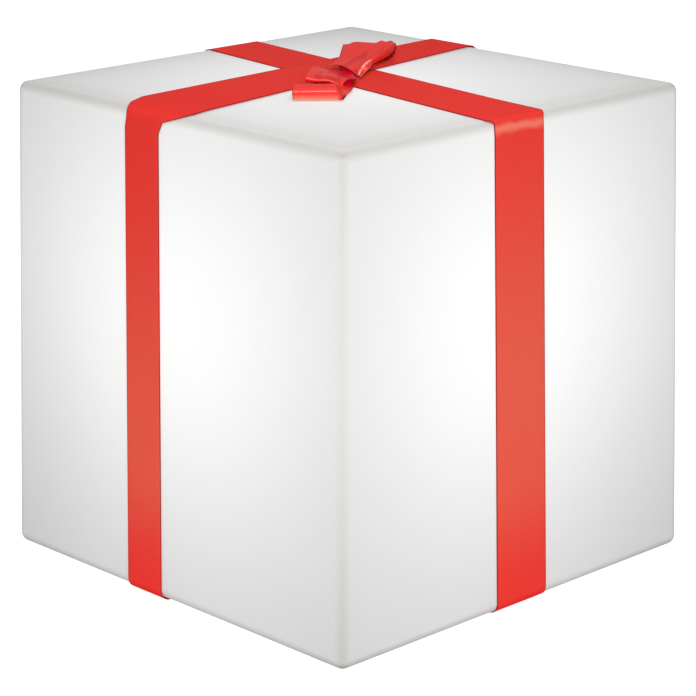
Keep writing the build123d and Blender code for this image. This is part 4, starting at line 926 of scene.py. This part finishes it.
button_shader, button_face, button_place = moulded(
    "button plastic", BUTTON_GREY, BUTTON_CLOUDED, roughness=0.5, grains=1600, clouds=120, bump=0.3,
    nodes=["power_button"],
)[1:]
button_low, button_high = (Vector(corner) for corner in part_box("power_button"))
button_middle = (button_low + button_high) / 2 * Vector(FLAT)
button_far = vector_math("DISTANCE", vector_math("MULTIPLY", button_place, FLAT)[0], button_middle)["Value"]
button_off = math("ABSOLUTE", math("SUBTRACT", button_far, BUTTON_RING_RADIUS))
button_ring = ramp(button_off, BUTTON_RING_HALF, BUTTON_RING_HALF + BUTTON_RING_FADE, 1.0, 0.0)
set_inputs(button_shader, {"Base Color": blend_colours(button_ring, button_face, BUTTON_RING)})

cover_shader, cover_face, cover_place = moulded(
    "cover rubber", COVER_BLACK, COVER_WORN, roughness=0.66, grains=1200, clouds=70, bump=0.3,
    nodes=["charge_cover"],
)[1:]
cover_marks = math("MULTIPLY", wear_and_highlight_breaks(cover_place, COVER_PATCHES), COVER_WORN_SHARE)
set_inputs(cover_shader, {"Base Color": blend_colours(cover_marks, cover_face, COVER_WORN)})

moulded(
    "black nylon", SWITCH_BLACK, SWITCH_CLOUDED, roughness=0.42, grains=2000, clouds=300, bump=0.2,
    nodes=["button_switch", "switch_plunger"],
)
bare_metal("ground pin", ZINC, ZINC_DULL, roughness=0.2, stretch=(2500, 60, 2500), nodes=["cover_pin"])
bare_metal(
    "nickel plate", NICKEL, NICKEL_DULL, roughness=0.26, stretch=(1500, 1500, 150),
    nodes=["usb_socket", "cell_links"],
)
pipe_shader = moulded(
    "clear light pipe", PIPE_CLEAR, PIPE_CLOUDED, roughness=0.14, grains=800, clouds=200, bump=0.05,
    nodes=["charge_indicator"],
)[1]
set_inputs(pipe_shader, {"Transmission Weight": PIPE_CLEARNESS, "IOR": PIPE_IOR})


# Boards: the control board is green with its tracks under the mask, and the light board above the heat
# spreader is white. Each is glass-fibre sheet, printed, drilled and screwed down.
MASK_GREEN = (0.012, 0.115, 0.045, 1.0)
TRACK_GREEN = (0.030, 0.205, 0.085, 1.0)
MASK_WHITE = (0.70, 0.70, 0.68, 1.0)
TRACK_WHITE = (0.78, 0.78, 0.755, 1.0)
TINNED = (0.66, 0.66, 0.64, 1.0)
TRACK_LIMITS, TINNED_LIMITS = (0.05, 0.08), (0.14, 0.17)
TRACK_CELLS = {"feature": "DISTANCE_TO_EDGE"}
TINNED_CELLS = {"feature": "F1", "distance": "CHEBYCHEV"}

track_group, track_in, track_out = new_group(
    "printed tracks", {"Place": VECTOR, "Tracks": FLOAT, "Pads": FLOAT}, {"Track": FLOAT, "Pad": FLOAT},
)
track_flat = vector_math("MULTIPLY", track_in["Place"], FLAT)[0]
for socket, output, limits, settings in (
    ("Tracks", "Track", TRACK_LIMITS, TRACK_CELLS),
    ("Pads", "Pad", TINNED_LIMITS, TINNED_CELLS),
):
    track_scale = {"Vector": track_flat, "Scale": track_in[socket]}
    track_cells = add_node(track_group, "ShaderNodeTexVoronoi", track_scale, **settings)
    set_inputs(track_out, {output: ramp(track_cells.outputs["Distance"], *limits, 1.0, 0.0)})


def printed_board(name, node, mask, track, tracks, pads):
    """A printed board: tracks that show through its mask, and tinned pads."""
    shader, face, place = moulded(
        name, mask, mask, roughness=0.32, grains=900, clouds=60, bump=0.1, nodes=[node],
    )[1:]
    printed = use_group(shader.id_data, track_group, Place=place, Tracks=tracks, Pads=pads)
    inked = blend_colours(printed["Track"], face, track)
    set_inputs(shader, {
        "Base Color": blend_colours(printed["Pad"], inked, TINNED),
        "Metallic": printed["Pad"],
    })


printed_board("green board", "control_board", MASK_GREEN, TRACK_GREEN, tracks=190.0, pads=140.0)
printed_board("white board", "led_board", MASK_WHITE, TRACK_WHITE, tracks=110.0, pads=70.0)


# Battery: two round cells in shrink wrap, laid in a cradle under a clamp and joined by welded links. Red and
# black leads go down to the control board, and a pale pair goes up to the light board.
WRAP_BLUE = (0.030, 0.130, 0.300, 1.0)
WRAP_CLOUDED = (0.040, 0.160, 0.350, 1.0)
CELL_END, CELL_END_FADE = 31.2 * MM, 0.2 * MM
WRAP_LIP, WRAP_LIP_FADE, WRAP_LIP_SHARE = 1.4 * MM, 0.3 * MM, 0.35
CRADLE_GREY = (0.11, 0.112, 0.115, 1.0)
CRADLE_CLOUDED = (0.14, 0.142, 0.145, 1.0)
LEAD_RED = (0.50, 0.020, 0.018, 1.0)
LEAD_BLACK = (0.018, 0.018, 0.018, 1.0)
LEAD_WHITE = (0.66, 0.66, 0.63, 1.0)
LEAD_GREY = (0.22, 0.22, 0.22, 1.0)
LEAD_PARTING = 0.2 * MM
SOCKET_WHITE = (0.70, 0.69, 0.63, 1.0)
SOCKET_CLOUDED = (0.64, 0.63, 0.57, 1.0)

wrap_shader, wrap_face, wrap_place = moulded(
    "shrink wrap", WRAP_BLUE, WRAP_CLOUDED, roughness=0.3, grains=260, clouds=90, bump=0.2,
    nodes=["battery_cells"],
)[1:]
wrap_reach = math("ABSOLUTE", split_place(wrap_place)[0])
wrap_bare = ramp(wrap_reach, CELL_END, CELL_END + CELL_END_FADE)
wrap_edge = CELL_END - WRAP_LIP
wrap_lip = ramp(wrap_reach, wrap_edge, wrap_edge + WRAP_LIP_FADE, 0.0, WRAP_LIP_SHARE)
wrap_lit = blend_colours(wrap_lip, wrap_face, TINNED)
set_inputs(wrap_shader, {"Base Color": blend_colours(wrap_bare, wrap_lit, NICKEL), "Metallic": wrap_bare})

moulded(
    "cradle plastic", CRADLE_GREY, CRADLE_CLOUDED, roughness=0.5, grains=1300, clouds=45, bump=0.3,
    nodes=["battery_cradle", "battery_clamp"],
)


def paired_leads(name, node, first, second):
    """The sleeves of two leads side by side, each in its own colour."""
    shader, face, place = moulded(
        name, first, first, roughness=0.38, grains=1500, clouds=300, bump=0.1, nodes=[node],
    )[1:]
    side = ramp(split_place(place)[1], -LEAD_PARTING, LEAD_PARTING)
    set_inputs(shader, {"Base Color": blend_colours(side, face, second)})


paired_leads("battery sleeves", "battery_leads", LEAD_BLACK, LEAD_RED)
paired_leads("lamp sleeves", "led_leads", LEAD_GREY, LEAD_WHITE)
moulded(
    "socket nylon", SOCKET_WHITE, SOCKET_CLOUDED, roughness=0.45, grains=1500, clouds=150, bump=0.2,
    nodes=["lead_sockets"],
)


# Lamp: a pale housing on the base plate carries the heat spreader and the light board with its ring of
# emitters. A frosted dome over them spreads the light through the box.
HOUSING_PALE = (0.66, 0.66, 0.64, 1.0)
HOUSING_CLOUDED = (0.61, 0.61, 0.59, 1.0)
ALUMINIUM = (0.80, 0.80, 0.81, 1.0)
ALUMINIUM_DULL = (0.62, 0.62, 0.63, 1.0)
PHOSPHOR = (0.80, 0.52, 0.08, 1.0)
PHOSPHOR_PALE = (0.85, 0.62, 0.18, 1.0)
PHOSPHOR_LIGHT = (1.0, 0.86, 0.62, 1.0)
PHOSPHOR_POWER = 2.0
DOME_WHITE = (0.80, 0.80, 0.79, 1.0)
DOME_CLOUDED = (0.76, 0.76, 0.75, 1.0)
DOME_LIGHT = (1.0, 0.97, 0.92, 1.0)
DOME_DIM = (0.35, 0.34, 0.32, 1.0)
DOME_POWER = 0.8

moulded(
    "housing plastic", HOUSING_PALE, HOUSING_CLOUDED, roughness=0.52, grains=1400, clouds=30, bump=0.3,
    nodes=["lamp_housing"],
)
bare_metal(
    "brushed aluminium", ALUMINIUM, ALUMINIUM_DULL, roughness=0.3, stretch=(40, 1800, 1800),
    nodes=["led_plate"],
)
phosphor_shader = moulded(
    "phosphor", PHOSPHOR, PHOSPHOR_PALE, roughness=0.5, grains=4000, clouds=1500, bump=0.2,
    nodes=["led_chips"],
)[1]
set_inputs(phosphor_shader, {"Emission Color": PHOSPHOR_LIGHT, "Emission Strength": PHOSPHOR_POWER})
dome_shader, _, dome_place = moulded(
    "frosted dome", DOME_WHITE, DOME_CLOUDED, roughness=0.6, grains=1800, clouds=40, bump=0.25,
    nodes=["light_dome"],
)[1:]
dome_low, dome_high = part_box("light_dome")
dome_rise = ramp(split_place(dome_place)[2], dome_low[2], dome_high[2])
set_inputs(dome_shader, {
    "Emission Color": blend_colours(dome_rise, DOME_DIM, DOME_LIGHT),
    "Emission Strength": DOME_POWER,
})
